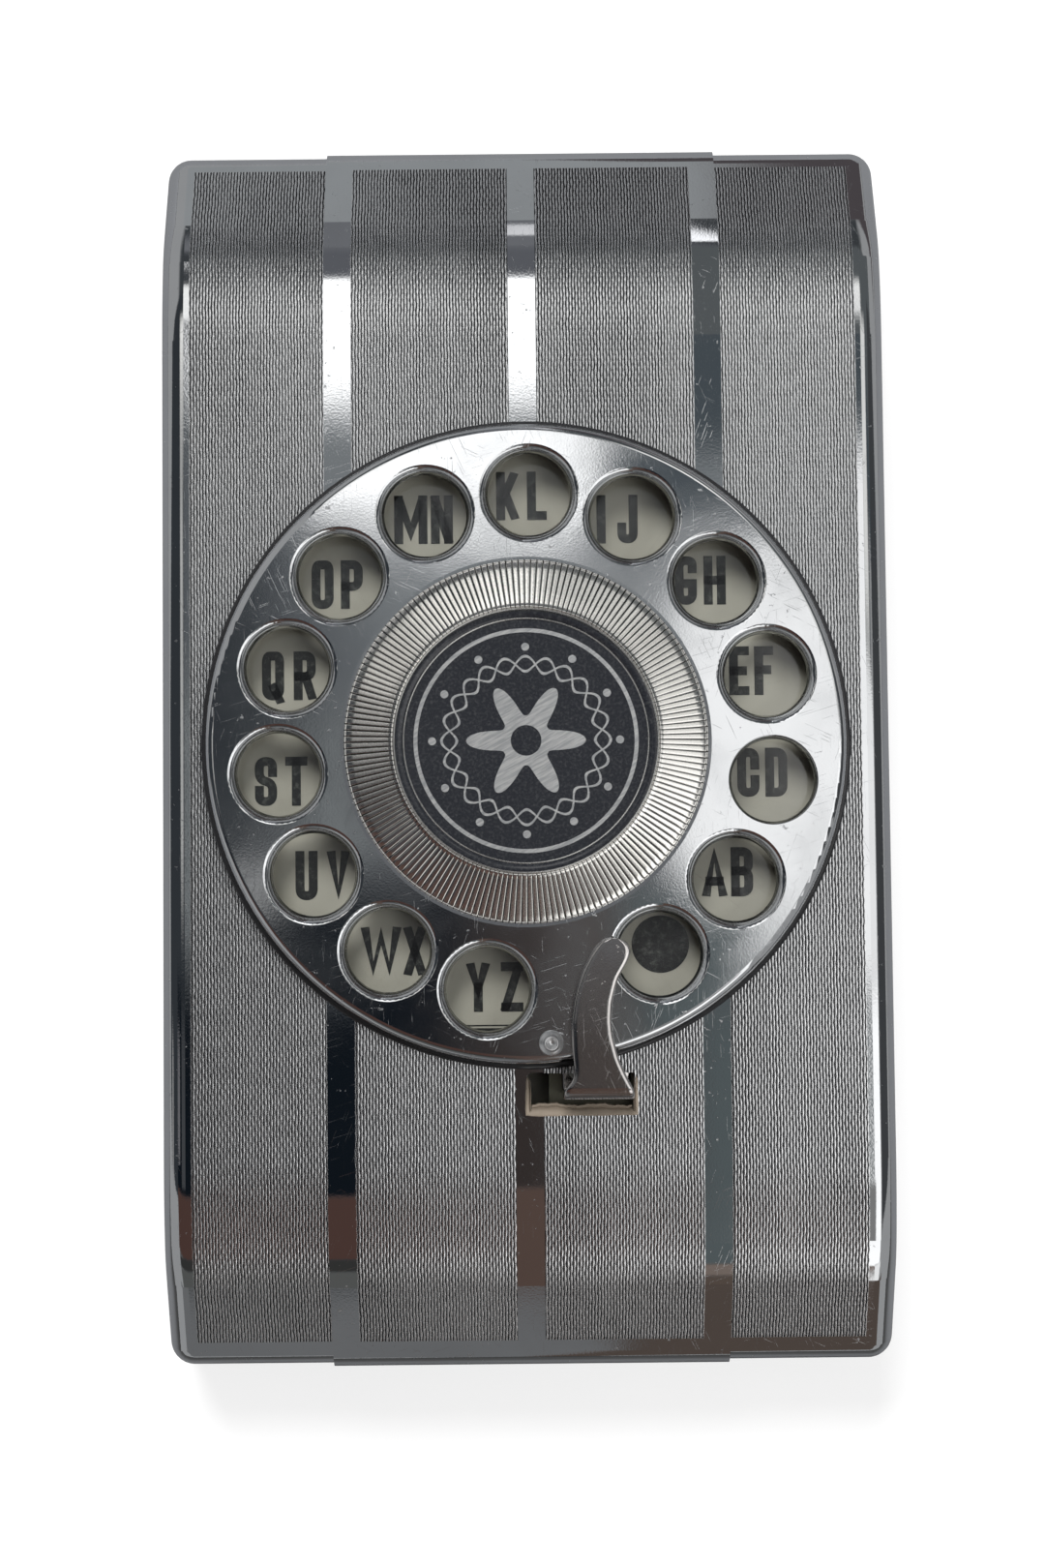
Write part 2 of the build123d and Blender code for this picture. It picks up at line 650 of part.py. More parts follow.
# Lug under the lid for the stop's return spring, and the spring.
lug_left = slide_right + stop_spring_length
spring_height = slide_top + stop_spring_radius + stop_spring_wire
with BuildPart() as spring_lug:
    with BuildSketch(Plane.YZ.offset(lug_left)):
        with Locations((stop_spring_y, (slide_top + lid_under) / 2)):
            Rectangle(2 * lug_half, lid_under - slide_top)
    extrude(amount=sheet)
    with BuildSketch(Plane.XY.offset(lid_under - sheet)):
        with Locations((lug_left + sheet, stop_spring_y)):
            Rectangle(2 * lug_half, 2 * lug_half, align=(Align.MIN, Align.CENTER))
    extrude(amount=sheet)
    add(lid_hollow.part, mode=Mode.INTERSECT)
save(spring_lug, "spring_lug")

spring_start = (slide_right + stop_spring_wire, stop_spring_y, spring_height)
path = wound_wire(spring_start, (0, 0, -1), (1, 0, 0), stop_spring_pitch,
                  stop_spring_length - 2 * stop_spring_wire, stop_spring_radius, 0)
with BuildPart() as stop_spring:
    with BuildSketch(Plane(path @ 0, z_dir=path % 0)):
        Circle(stop_spring_wire)
    sweep(path=path)
save(stop_spring, "stop_spring")
print(f"stop spring: least gap between turns {stop_spring_pitch - 2 * stop_spring_wire:.2f} mm")

# ================================================================ dial

# Finger wheel: pressed and plated sheet with a rolled rim and fourteen collared holes.
holes = [home_angle + number * hole_pitch for number in range(hole_count)]
hole_places = [(hole_circle_radius * cos(radians(a)), hole_circle_radius * sin(radians(a))) for a in holes]
flat_edge = hub_outer + hub_edge
rim_top = wheel_top - wheel_fall
with BuildPart() as finger_wheel:
    with BuildSketch(Plane.XZ):
        with BuildLine():
            outline = Polyline((spindle_stub, wheel_under), (spindle_stub, wheel_top), (flat_edge, wheel_top),
                               (dial_radius, rim_top), (dial_radius, dial_base_top + running_gap),
                               (dial_radius - wheel_sheet, dial_base_top + running_gap),
                               (dial_radius - wheel_sheet, rim_top - wheel_sheet),
                               (flat_edge, wheel_under), close=True)
        face = make_face()
        rim = face.vertices().group_by(Axis.X)[-1].sort_by(Axis.Y)[-1]
        fillet(rim, wheel_rim_round)
    revolve(axis=Axis.Z)
    with BuildSketch(Plane.XY.offset(wheel_under - collar_depth)):
        with Locations(*hole_places):
            Circle(hole_radius + collar_wall)
    extrude(amount=collar_depth + wheel_fall / 2)
    with BuildSketch(Plane.XY.offset(wheel_under - collar_depth)):
        with Locations(*hole_places):
            Circle(hole_radius)
    extrude(amount=collar_depth + wheel_sheet, mode=Mode.SUBTRACT)
    around = 2 * pi * hole_radius
    rounds = finger_wheel.edges().filter_by(lambda e: abs(e.length - around) < hole_round)
    lips = rounds.filter_by(lambda e: e.center().Z > wheel_under)
    fillet(lips, hole_round)
    with BuildSketch(Plane.XY.offset(wheel_under - wheel_fall)):
        with PolarLocations(stud_circle_radius, 1, start_angle=stud_angle):
            Circle(rivet_radius)
    extrude(amount=wheel_sheet + wheel_fall, mode=Mode.SUBTRACT)
save(finger_wheel, "finger_wheel")

# Stop stud with a dimpled top, riveted through the wheel near its rim.
stud_slope = wheel_fall / (dial_radius - flat_edge)
stud_seat = wheel_top - stud_slope * (stud_circle_radius - stud_radius - flat_edge)
stud_x0 = stud_circle_radius * cos(radians(stud_angle))
stud_y0 = stud_circle_radius * sin(radians(stud_angle))
with BuildPart() as stop_stud:
    with Locations((stud_x0, stud_y0, wheel_under - rivet_head_height)):
        Cylinder(rivet_radius, stud_seat - wheel_under + rivet_head_height,
                 align=(Align.CENTER, Align.CENTER, Align.MIN))
    with Locations((stud_x0, stud_y0, stud_seat)):
        Cylinder(stud_radius, stud_top - stud_seat, align=(Align.CENTER, Align.CENTER, Align.MIN))
    fillet(stop_stud.edges().group_by(Axis.Z)[-1], stud_round)
    with Locations((stud_x0, stud_y0, stud_top + stud_dimple / 2)):
        Sphere(stud_dimple, mode=Mode.SUBTRACT)
save(stop_stud, "stop_stud")

# Coned, fluted hub ring, its bright bezel and the black plate inside it.
bezel_outer = hub_inner - contact_gap / 2
bezel_inner = bezel_outer - bezel_width
with BuildPart() as hub_ring:
    with BuildSketch(Plane.XZ):
        with BuildLine():
            Polyline((hub_inner, wheel_top), (hub_outer, wheel_top), (hub_outer, wheel_top + hub_edge),
                     (hub_inner, wheel_top + hub_rise), close=True)
        make_face()
    revolve(axis=Axis.Z)
save(hub_ring, "hub_ring")

with BuildPart() as hub_bezel:
    with BuildSketch(Plane.XZ):
        with BuildLine():
            Polyline((bezel_inner - bezel_ledge, wheel_top), (bezel_outer, wheel_top),
                     (bezel_outer, wheel_top + bezel_rise), (bezel_inner, wheel_top + bezel_rise),
                     (bezel_inner, hub_plate_bottom), (bezel_inner - bezel_ledge, hub_plate_bottom),
                     close=True)
        make_face()
    revolve(axis=Axis.Z)
    fillet(hub_bezel.edges().group_by(Axis.Z)[-1], bezel_round)
save(hub_bezel, "hub_bezel")

with BuildPart() as hub_plate:
    with BuildSketch(Plane.XY.offset(hub_plate_bottom)):
        Circle(bezel_inner - bore_gap)
    extrude(amount=hub_plate_thickness)
save(hub_plate, "hub_plate")

with BuildPart() as hub_nut:
    with BuildSketch(Plane.XY.offset(wheel_top)):
        RegularPolygon(nut_radius, 6)
        Circle(spindle_stub, mode=Mode.SUBTRACT)
    extrude(amount=nut_height)
save(hub_nut, "hub_nut")

# Spindle: a flange that carries the wheel, and a shaft down through the bush to the pinion.
clip_top = gear_bottom
with BuildPart() as dial_spindle:
    for radius, bottom, top in ((spindle_radius, clip_top - 2 * sheet, flange_bottom),
                                (spindle_flange, flange_bottom, wheel_under),
                                (spindle_stub, wheel_under, wheel_top + nut_height)):
        with BuildSketch(Plane.XY.offset(bottom)):
            Circle(radius)
        extrude(amount=top - bottom)
save(dial_spindle, "dial_spindle")

# Pinion on the spindle's lower end, with involute teeth, and the clip that holds it.
base_circle = pinion_radius * cos(radians(pressure_angle))
pinion_tip = pinion_radius + gear_module
pinion_root = pinion_radius - gear_root * gear_module


def unwound(radius):
    """Angle from the start of an involute on the base circle to its point at this radius."""
    roll = sqrt(abs((radius / base_circle) ** 2 - 1))
    return roll - atan(roll)


def half_tooth(radius):
    """Half of the angle that a pinion tooth takes up at this radius."""
    at_pitch = pi / (2 * pinion_teeth) - gear_backlash / (4 * pinion_radius)
    return at_pitch + unwound(pinion_radius) - unwound(radius)


flank_radii = [base_circle + (pinion_tip - base_circle) * step / 6 for step in range(7)]
with BuildSketch() as pinion_tooth:
    with BuildLine():
        for side in (1, -1):
            flank = [(r * cos(half_tooth(r)), side * r * sin(half_tooth(r))) for r in flank_radii]
            Polyline((0, 0), flank[0])
            Spline(*flank)
        ThreePointArc((flank[-1][0], -flank[-1][1]), (pinion_tip, 0), flank[-1])
    make_face()

with BuildPart() as drive_pinion:
    with BuildSketch(Plane.XY.offset(gear_bottom)):
        Circle(pinion_root)
        with PolarLocations(0, pinion_teeth, start_angle=90 + 180 / pinion_teeth):
            add(pinion_tooth.sketch)
        Circle(spindle_radius, mode=Mode.SUBTRACT)
    extrude(amount=gear_thickness)
    with BuildSketch(Plane.XY.offset(gear_top)):
        Circle(pinion_hub)
        Circle(spindle_radius, mode=Mode.SUBTRACT)
    extrude(amount=bush_bottom - running_gap - gear_top)
save(drive_pinion, "drive_pinion")

with BuildPart() as retaining_clip:
    with BuildSketch(Plane.XY.offset(gear_bottom - sheet)):
        Circle(clip_radius)
        Circle(spindle_radius, mode=Mode.SUBTRACT)
        with Locations((clip_radius, 0)):
            Rectangle(2 * clip_radius, spindle_radius, mode=Mode.SUBTRACT)
    extrude(amount=sheet)
save(retaining_clip, "retaining_clip")

# ================================================================ selector

# Rack with straight-flanked teeth, in mesh behind the pinion; its tooth at X = 0 fills a pinion gap.
rack_pitch = pi * gear_module
rack_left = frame_side + rivet_radius
rack_root_y = pinion_radius + gear_root * gear_module
rack_tip_y = pinion_radius - gear_module
rack_back_y = pinion_radius + rack_depth


def half_rack_tooth(y):
    """Half width of a rack tooth at this Y."""
    return rack_pitch / 4 - gear_backlash / 4 + (y - pinion_radius) * tan(radians(pressure_angle))


root_half, tip_half = half_rack_tooth(rack_root_y), half_rack_tooth(rack_tip_y)
first_tooth = ceil((rack_left + root_half) / rack_pitch)
last_tooth = floor((rack_reach - root_half) / rack_pitch)
rack_points = [(rack_left, rack_back_y), (rack_left, rack_root_y)]
for tooth in range(first_tooth, last_tooth + 1):
    x = tooth * rack_pitch
    rack_points += [(x - root_half, rack_root_y), (x - tip_half, rack_tip_y),
                    (x + tip_half, rack_tip_y), (x + root_half, rack_root_y)]
rack_points += [(rack_reach, rack_root_y), (rack_reach, rack_back_y)]
rack_rivet_y = (rack_root_y + rack_back_y) / 2
rack_rivet_places = [rack_left + (rack_reach - rack_left) * part for part in rack_rivet_shares]
with BuildPart() as selector_rack:
    with BuildSketch(Plane.XY.offset(frame_top)):
        with BuildLine():
            Polyline(*rack_points, close=True)
        make_face()
        with Locations(*[(x, rack_rivet_y) for x in rack_rivet_places]):
            Circle(rivet_radius, mode=Mode.SUBTRACT)
    extrude(amount=gear_top - frame_top)
save(selector_rack, "selector_rack")

# Sheet frame under the rack: a strip, a leg down the left side, a cross bar and a short finger.
frame_front = pinion_radius + frame_setback * gear_module
leg_right = frame_side + frame_leg
crossbar_front = crossbar_y - crossbar_half
crossbar_rear = crossbar_y + crossbar_half
finger_left = selector_home - crossbar_half
finger_right = selector_home + crossbar_half
with BuildPart() as selector_frame:
    with BuildSketch(Plane.XY.offset(frame_level)):
        with BuildLine():
            Polyline((rack_reach, frame_front), (rack_reach, frame_back), (frame_side, frame_back),
                     (frame_side, crossbar_front), (finger_left, crossbar_front), (finger_left, hook_front),
                     (finger_right, hook_front), (finger_right, crossbar_rear), (leg_right, crossbar_rear),
                     (leg_right, frame_front), close=True)
        make_face()
        with Locations(*[(x, rack_rivet_y) for x in rack_rivet_places]):
            Circle(rivet_radius, mode=Mode.SUBTRACT)
        with Locations((guide_stud_place, crossbar_y)):
            Circle(rivet_radius, mode=Mode.SUBTRACT)
    extrude(amount=sheet)
save(selector_frame, "selector_frame")

with BuildPart() as rack_rivets:
    with BuildSketch(Plane.XY.offset(frame_level)):
        with Locations(*[(x, rack_rivet_y) for x in rack_rivet_places]):
            Circle(rivet_radius)
    extrude(amount=gear_top - frame_level)
    with BuildSketch(Plane.XY.offset(gear_top)):
        with Locations(*[(x, rack_rivet_y) for x in rack_rivet_places]):
            Circle(rivet_head)
    extrude(amount=rivet_head_height)
save(rack_rivets, "rack_rivets")

# Headed stud that keeps the frame's front end in the slotted rail.
stud_head_bottom = rail_level + sheet + contact_gap
with BuildPart() as guide_pin:
    for radius, bottom, top in ((rivet_radius, frame_level, frame_top),
                                (guide_stud, frame_top, stud_head_bottom),
                                (guide_stud_head, stud_head_bottom, slide_level - running_gap)):
        with BuildSketch(Plane.XY.offset(bottom)):
            with Locations((guide_stud_place, crossbar_y)):
                Circle(radius)
        extrude(amount=top - bottom)
save(guide_pin, "guide_stud")

# Pick hook welded under the finger: it runs ahead of the tabs, and its foot reaches back under one.
foot_rear = tab_front + hook_overlap
with BuildPart() as selector_hook:
    with BuildSketch(Plane.YZ.offset(selector_home - hook_half)):
        with BuildLine():
            Polyline((hook_front, frame_level), (hook_front, hook_foot_bottom), (foot_rear, hook_foot_bottom),
                     (foot_rear, hook_foot_bottom + hook_foot),
                     (hook_front + sheet, hook_foot_bottom + hook_foot), (hook_front + sheet, frame_level),
                     close=True)
        make_face()
    extrude(amount=2 * hook_half)
save(selector_hook, "selector_hook")

# ================================================================ finger stop and lid latch

# Finger stop: a waisted sheet arm over the wheel, bent down through the window, with a toe under the lid.
tip_x, tip_y = hole_places[0][0] + stop_tip_offset[0], hole_places[0][1] + stop_tip_offset[1]
waist_x, waist_y = stop_foot_x - stop_waist_left, stop_waist_inset - dial_radius
neck_x, neck_y = stop_foot_x - stop_neck_left, -dial_base_radius - stop_neck_clear
arm_end = stop_foot_front + stop_bend
with BuildPart() as finger_stop:
    with BuildSketch(Plane.XY.offset(stop_under)):
        with BuildLine():
            for side in (1, -1):
                foot_x = stop_foot_x + side * stop_foot_half
                Spline((tip_x + side * stop_tip_radius, tip_y), (waist_x + side * stop_waist_half, waist_y),
                       (neck_x + side * stop_neck_half, neck_y), (foot_x, arm_end),
                       tangents=[(-stop_tip_lean, -1), (side, -1)])
                Line((foot_x, arm_end), (foot_x, stop_foot_front))
            Line((foot_left, stop_foot_front), (foot_right, stop_foot_front))
            ThreePointArc((tip_x - stop_tip_radius, tip_y), (tip_x, tip_y + stop_tip_radius),
                          (tip_x + stop_tip_radius, tip_y))
        make_face()
    extrude(amount=stop_sheet)
    with BuildSketch(Plane.YZ.offset(foot_left)):
        with BuildLine():
            Polyline((stop_foot_front, stop_top), (stop_foot_front, slide_top), (toe_rear, slide_top),
                     (toe_rear, toe_top), (foot_rear_face, toe_top), (foot_rear_face, stop_top), close=True)
        make_face()
    extrude(amount=foot_right - foot_left)
    across = finger_stop.edges().filter_by(Axis.X).filter_by(lambda e: e.length > stop_foot_half)
    outer = across.group_by(Axis.Z)[-1]
    fillet(outer, stop_bend)
    across = finger_stop.edges().filter_by(Axis.X).filter_by(lambda e: e.length > stop_foot_half)
    inner = across.filter_by(lambda e: abs(e.center().Z - stop_under) < contact_gap)
    fillet(inner, stop_bend - stop_sheet)
    toe_y = (foot_rear_face + toe_rear) / 2
    toe_rivets = [(stop_foot_x + side * stop_foot_half / 2, toe_y) for side in (-1, 1)]
    with BuildSketch(Plane.XY.offset(slide_top)):
        with Locations(*toe_rivets):
            Circle(rivet_radius)
    extrude(amount=stop_sheet, mode=Mode.SUBTRACT)
save(finger_stop, "finger_stop")

# Latch slide: hangs on two studs by its slots, steps down at the front and ends in a leg with a nose.
slide_rear = toe_rear + stop_sheet
step_shift = sheet / 2
leg_left = stop_foot_x - latch_leg_half
leg_right_side = stop_foot_x + latch_leg_half
joggle_end = slide_joggle - slide_joggle_run
spring_lug_height = 2 * (stop_spring_radius + stop_spring_wire)
slot_width = 2 * (latch_stud_radius + contact_gap)
slide_left = stop_foot_x - slide_half
with BuildPart() as latch_slide:
    with BuildSketch(Plane.YZ.offset(slide_left)):
        with BuildLine():
            Polyline((slide_rear, slide_level), (slide_joggle, slide_level), (joggle_end, slide_front_level),
                     (latch_y - sheet, slide_front_level), (latch_y - sheet, slide_front_level + sheet),
                     (joggle_end - step_shift, slide_front_level + sheet),
                     (slide_joggle - step_shift, slide_top), (slide_rear, slide_top), close=True)
        make_face()
    extrude(amount=slide_right - slide_left)
    with BuildSketch(Plane.XZ.offset(-latch_y)):
        with BuildLine():
            Polyline((leg_left, slide_front_level), (leg_left, latch_bottom),
                     (nose_end - latch_ramp, latch_bottom), (nose_end, latch_bottom + latch_ramp),
                     (nose_end, latch_bottom + latch_nose_height),
                     (leg_right_side, latch_bottom + latch_nose_height),
                     (leg_right_side, slide_front_level), close=True)
        make_face()
    extrude(amount=sheet)
    with BuildSketch(Plane.YZ.offset(slide_right - sheet)):
        with Locations((stop_spring_y, slide_top)):
            Rectangle(2 * lug_half, spring_lug_height, align=(Align.CENTER, Align.MIN))
    extrude(amount=sheet)
    with BuildSketch(Plane.XY.offset(slide_level)):
        with Locations(*[(stud_x + stop_travel / 2, y) for y in (rear_stud_y, front_stud_y)]):
            SlotOverall(stop_travel + slot_width, slot_width)
        with Locations(*toe_rivets):
            Circle(rivet_radius)
    extrude(amount=sheet, mode=Mode.SUBTRACT)
save(latch_slide, "latch_slide")

with BuildPart() as stop_rivets:
    for radius, bottom, top in ((rivet_head, slide_level - rivet_head_height, slide_level),
                                (rivet_radius, slide_level, toe_top),
                                (rivet_head, toe_top, toe_top + rivet_head_height)):
        with BuildSketch(Plane.XY.offset(bottom)):
            with Locations(*toe_rivets):
                Circle(radius)
        extrude(amount=top - bottom)
save(stop_rivets, "stop_rivets")

print(f"letter step {letter_step:.4f} mm, selector travel {selector_travel:.3f} mm")
print(f"binder rings' centre {ring_height:.3f} mm high")
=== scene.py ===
# Looks for the pop up telephone index: one section for each piece or group, in the order it is put together.
import bpy
import math
import numpy as np
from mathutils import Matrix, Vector


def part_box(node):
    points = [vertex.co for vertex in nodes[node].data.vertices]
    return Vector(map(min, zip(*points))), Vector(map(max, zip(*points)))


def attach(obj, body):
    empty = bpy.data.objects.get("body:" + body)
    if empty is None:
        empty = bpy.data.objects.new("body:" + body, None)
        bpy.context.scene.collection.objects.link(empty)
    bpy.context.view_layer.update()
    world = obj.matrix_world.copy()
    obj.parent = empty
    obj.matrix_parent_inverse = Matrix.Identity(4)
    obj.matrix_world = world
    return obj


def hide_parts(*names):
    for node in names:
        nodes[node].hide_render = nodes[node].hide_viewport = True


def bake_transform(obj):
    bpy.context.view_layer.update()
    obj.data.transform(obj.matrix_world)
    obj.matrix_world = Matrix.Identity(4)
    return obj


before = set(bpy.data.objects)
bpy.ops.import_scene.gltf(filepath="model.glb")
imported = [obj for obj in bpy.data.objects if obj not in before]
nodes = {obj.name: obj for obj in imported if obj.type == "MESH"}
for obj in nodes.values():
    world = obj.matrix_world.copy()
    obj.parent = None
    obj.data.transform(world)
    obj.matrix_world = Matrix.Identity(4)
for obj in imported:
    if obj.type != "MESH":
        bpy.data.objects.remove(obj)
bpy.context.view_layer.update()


# ---- Rubber feet ---------------------------------------------------------------------------------
# Four turned rubber feet, pushed into the underside of the tray.
# They are matt dark rubber with dust in its pores.
def group(name, inputs, outputs):
    """Empty shader group with these sockets, as (tree, its input node, its output node)."""
    tree = bpy.data.node_groups.new(name, "ShaderNodeTree")
    for label, kind in inputs:
        tree.interface.new_socket(label, in_out="INPUT", socket_type=kind)
    for label, kind in outputs:
        tree.interface.new_socket(label, in_out="OUTPUT", socket_type=kind)
    return tree, tree.nodes.new("NodeGroupInput"), tree.nodes.new("NodeGroupOutput")


def math_node(tree, operation, *values):
    """Math node whose inputs are sockets or plain numbers; returns its output socket."""
    node = tree.nodes.new("ShaderNodeMath")
    node.operation = operation
    for i, value in enumerate(values):
        if isinstance(value, (int, float)):
            node.inputs[i].default_value = value
        else:
            tree.links.new(value, node.inputs[i])
    return node.outputs[0]


def noise(tree, vector, scale, detail=3.0, roughness=0.5, distortion=0.0):
    """Noise texture at so many cells a metre; returns its value socket."""
    node = tree.nodes.new("ShaderNodeTexNoise")
    node.inputs["Scale"].default_value = scale
    node.inputs["Detail"].default_value = detail
    node.inputs["Roughness"].default_value = roughness
    node.inputs["Distortion"].default_value = distortion
    tree.links.new(vector, node.inputs["Vector"])
    return node.outputs["Fac"]


def spread(tree, value, low, high, out_low=0.0, out_high=1.0):
    """Stretches a value from low..high to out_low..out_high, held at the ends."""
    node = tree.nodes.new("ShaderNodeMapRange")
    node.interpolation_type = "SMOOTHSTEP"
    tree.links.new(value, node.inputs["Value"])
    for label, number in (("From Min", low), ("From Max", high), ("To Min", out_low), ("To Max", out_high)):
        node.inputs[label].default_value = number
    return node.outputs["Result"]


def turned(tree, vector, angle, scale):
    """The vector turned about Z and then stretched, for streaks that run one way."""
    node = tree.nodes.new("ShaderNodeMapping")
    node.vector_type = "TEXTURE"
    node.inputs["Rotation"].default_value = (0.0, 0.0, angle)
    node.inputs["Scale"].default_value = scale
    tree.links.new(vector, node.inputs["Vector"])
    return node.outputs["Vector"]


def wear_group():
    """Shared wear: clouds of handling, fine grain, dust specks and hair-thin scratches in five directions."""
    tree, given, result = group(
        "wear", [("Vector", "NodeSocketVector")],
        [(label, "NodeSocketFloat") for label in ("Cloud", "Grain", "Dust", "Scratch")])
    vector = given.outputs["Vector"]
    tree.links.new(noise(tree, vector, 45, 4, 0.6, 0.4), result.inputs["Cloud"])
    tree.links.new(noise(tree, vector, 3200, 2), result.inputs["Grain"])
    tree.links.new(spread(tree, noise(tree, vector, 900, 3, 0.6), 0.66, 0.74), result.inputs["Dust"])
    total = None
    for i, (angle, width) in enumerate(((0.3, 1.0), (1.2, 0.8), (2.0, 1.0), (2.7, 0.7), (1.6, 1.3))):
        streak = turned(tree, vector, angle, (1.0, 1 / (60.0 * width), 1.0))
        line = spread(tree, noise(tree, streak, 160, 1.5, 0.5, 0.1 * i), 0.70, 0.74, 0.0, 0.6)
        patch = spread(tree, noise(tree, turned(tree, vector, 0.7 * i, (1, 1, 1)), 90 + 20 * i, 1), 0.5, 0.62)
        line = math_node(tree, "MULTIPLY", line, patch)
        total = line if total is None else math_node(tree, "MAXIMUM", total, line)
    tree.links.new(total, result.inputs["Scratch"])
    return tree


wear = wear_group()


def blank(name):
    """New node material, as (material, tree, shader, object coordinates, wear group)."""
    material = bpy.data.materials.new(name)
    material.use_nodes = True
    tree = material.node_tree
    shader = tree.nodes["Principled BSDF"]
    place = tree.nodes.new("ShaderNodeTexCoord").outputs["Object"]
    worn = tree.nodes.new("ShaderNodeGroup")
    worn.node_tree = wear
    tree.links.new(place, worn.inputs["Vector"])
    return material, tree, shader, place, worn


def two_tone(tree, mask, first, second, target):
    """Colour that goes from first to second with the mask, linked to the target socket."""
    mix = tree.nodes.new("ShaderNodeMix")
    mix.data_type = "RGBA"
    mix.inputs[6].default_value = (*first, 1)
    mix.inputs[7].default_value = (*second, 1)
    tree.links.new(mask, mix.inputs[0])
    tree.links.new(mix.outputs[2], target)


def relief(tree, height, distance, shader):
    """Bump from a height value, in metres at value one."""
    bump = tree.nodes.new("ShaderNodeBump")
    bump.inputs["Distance"].default_value = distance
    tree.links.new(height, bump.inputs["Height"])
    tree.links.new(bump.outputs["Normal"], shader.inputs["Normal"])


def dress(material, *names):
    """Gives the material to these CAD nodes."""
    for name in names:
        mesh = nodes[name].data
        mesh.materials.clear()
        mesh.materials.append(material)


def foot_rubber():
    """Matt dark rubber with paler dust."""
    material, tree, shader, place, worn = blank("foot_rubber_finish")
    two_tone(tree, worn.outputs["Dust"], (0.018, 0.018, 0.019), (0.12, 0.11, 0.10),
             shader.inputs["Base Color"])
    tree.links.new(spread(tree, worn.outputs["Cloud"], 0.3, 0.7, 0.65, 0.9), shader.inputs["Roughness"])
    relief(tree, worn.outputs["Grain"], 2e-5, shader)
    return material


dress(foot_rubber(), "rubber_feet")


# ---- Base tray -----------------------------------------------------------------------------------
# Drawn steel tray, stove enamelled black and chipped at its edges.
# The hinge, the binder plate and the catch are riveted to it.
def enamel():
    """Black stove enamel with an orange-peel surface, and steel showing through small chips."""
    material, tree, shader, place, worn = blank("black_enamel_finish")
    chips = spread(tree, noise(tree, place, 700, 5, 0.65), 0.705, 0.72)
    two_tone(tree, chips, (0.012, 0.012, 0.013), (0.30, 0.29, 0.27), shader.inputs["Base Color"])
    tree.links.new(math_node(tree, "MULTIPLY", chips, 0.9), shader.inputs["Metallic"])
    tree.links.new(spread(tree, worn.outputs["Cloud"], 0.3, 0.7, 0.16, 0.34), shader.inputs["Roughness"])
    shader.inputs["Coat Weight"].default_value = 0.25
    peel = noise(tree, place, 650, 2)
    peel = math_node(tree, "SUBTRACT", peel, math_node(tree, "MULTIPLY", chips, 0.8))
    relief(tree, peel, 2.5e-5, shader)
    return material


black_enamel = enamel()
dress(black_enamel, "base_tray")


# ---- Page card, binder and hinge -----------------------------------------------------------------
# The last page is glued to the tray's floor. Two rings on a riveted plate hold the leaves. The hinge leaves
# and pin are zinc-plated steel.
def card(name, paper, foxed):
    """Smooth index card, slightly yellowed, with fibres."""
    material, tree, shader, place, worn = blank(name)
    two_tone(tree, spread(tree, worn.outputs["Cloud"], 0.45, 0.75), paper, foxed, shader.inputs["Base Color"])
    tree.links.new(spread(tree, worn.outputs["Cloud"], 0.3, 0.7, 0.55, 0.72), shader.inputs["Roughness"])
    fibre = noise(tree, turned(tree, place, 0.4, (1, 0.1, 1)), 500, 3)
    relief(tree, math_node(tree, "ADD", worn.outputs["Grain"], fibre), 6e-6, shader)
    return material


def metal(name, bright, dull, low, high, scratch=0.25, metallic=1.0):
    """Metal: bright to dull colour in clouds, roughness from low to high, scratches that catch light."""
    material, tree, shader, place, worn = blank(name)
    shader.inputs["Metallic"].default_value = metallic
    two_tone(tree, spread(tree, worn.outputs["Cloud"], 0.35, 0.7), bright, dull, shader.inputs["Base Color"])
    rough = spread(tree, worn.outputs["Cloud"], 0.3, 0.75, low, high)
    rough = math_node(tree, "ADD", rough, math_node(tree, "MULTIPLY", worn.outputs["Scratch"], scratch))
    rough = math_node(tree, "ADD", rough, math_node(tree, "MULTIPLY", worn.outputs["Dust"], 0.3))
    tree.links.new(rough, shader.inputs["Roughness"])
    relief(tree, math_node(tree, "SUBTRACT", worn.outputs["Grain"], worn.outputs["Scratch"]), 2e-6, shader)
    return material


page_card = card("page_card_finish", (0.80, 0.77, 0.68), (0.70, 0.64, 0.50))
zinc = metal("zinc_steel_finish", (0.50, 0.51, 0.50), (0.38, 0.37, 0.33), 0.28, 0.45)
chrome = metal("bright_chrome_finish", (0.80, 0.81, 0.82), (0.72, 0.73, 0.74), 0.035, 0.09, scratch=0.12)
dress(page_card, "floor_card")
dress(zinc, "binder_plate", "base_hinge_leaf", "lid_hinge_leaf", "hinge_pin")
dress(chrome, "binder_rings", "binder_rivets", "hinge_rivets")


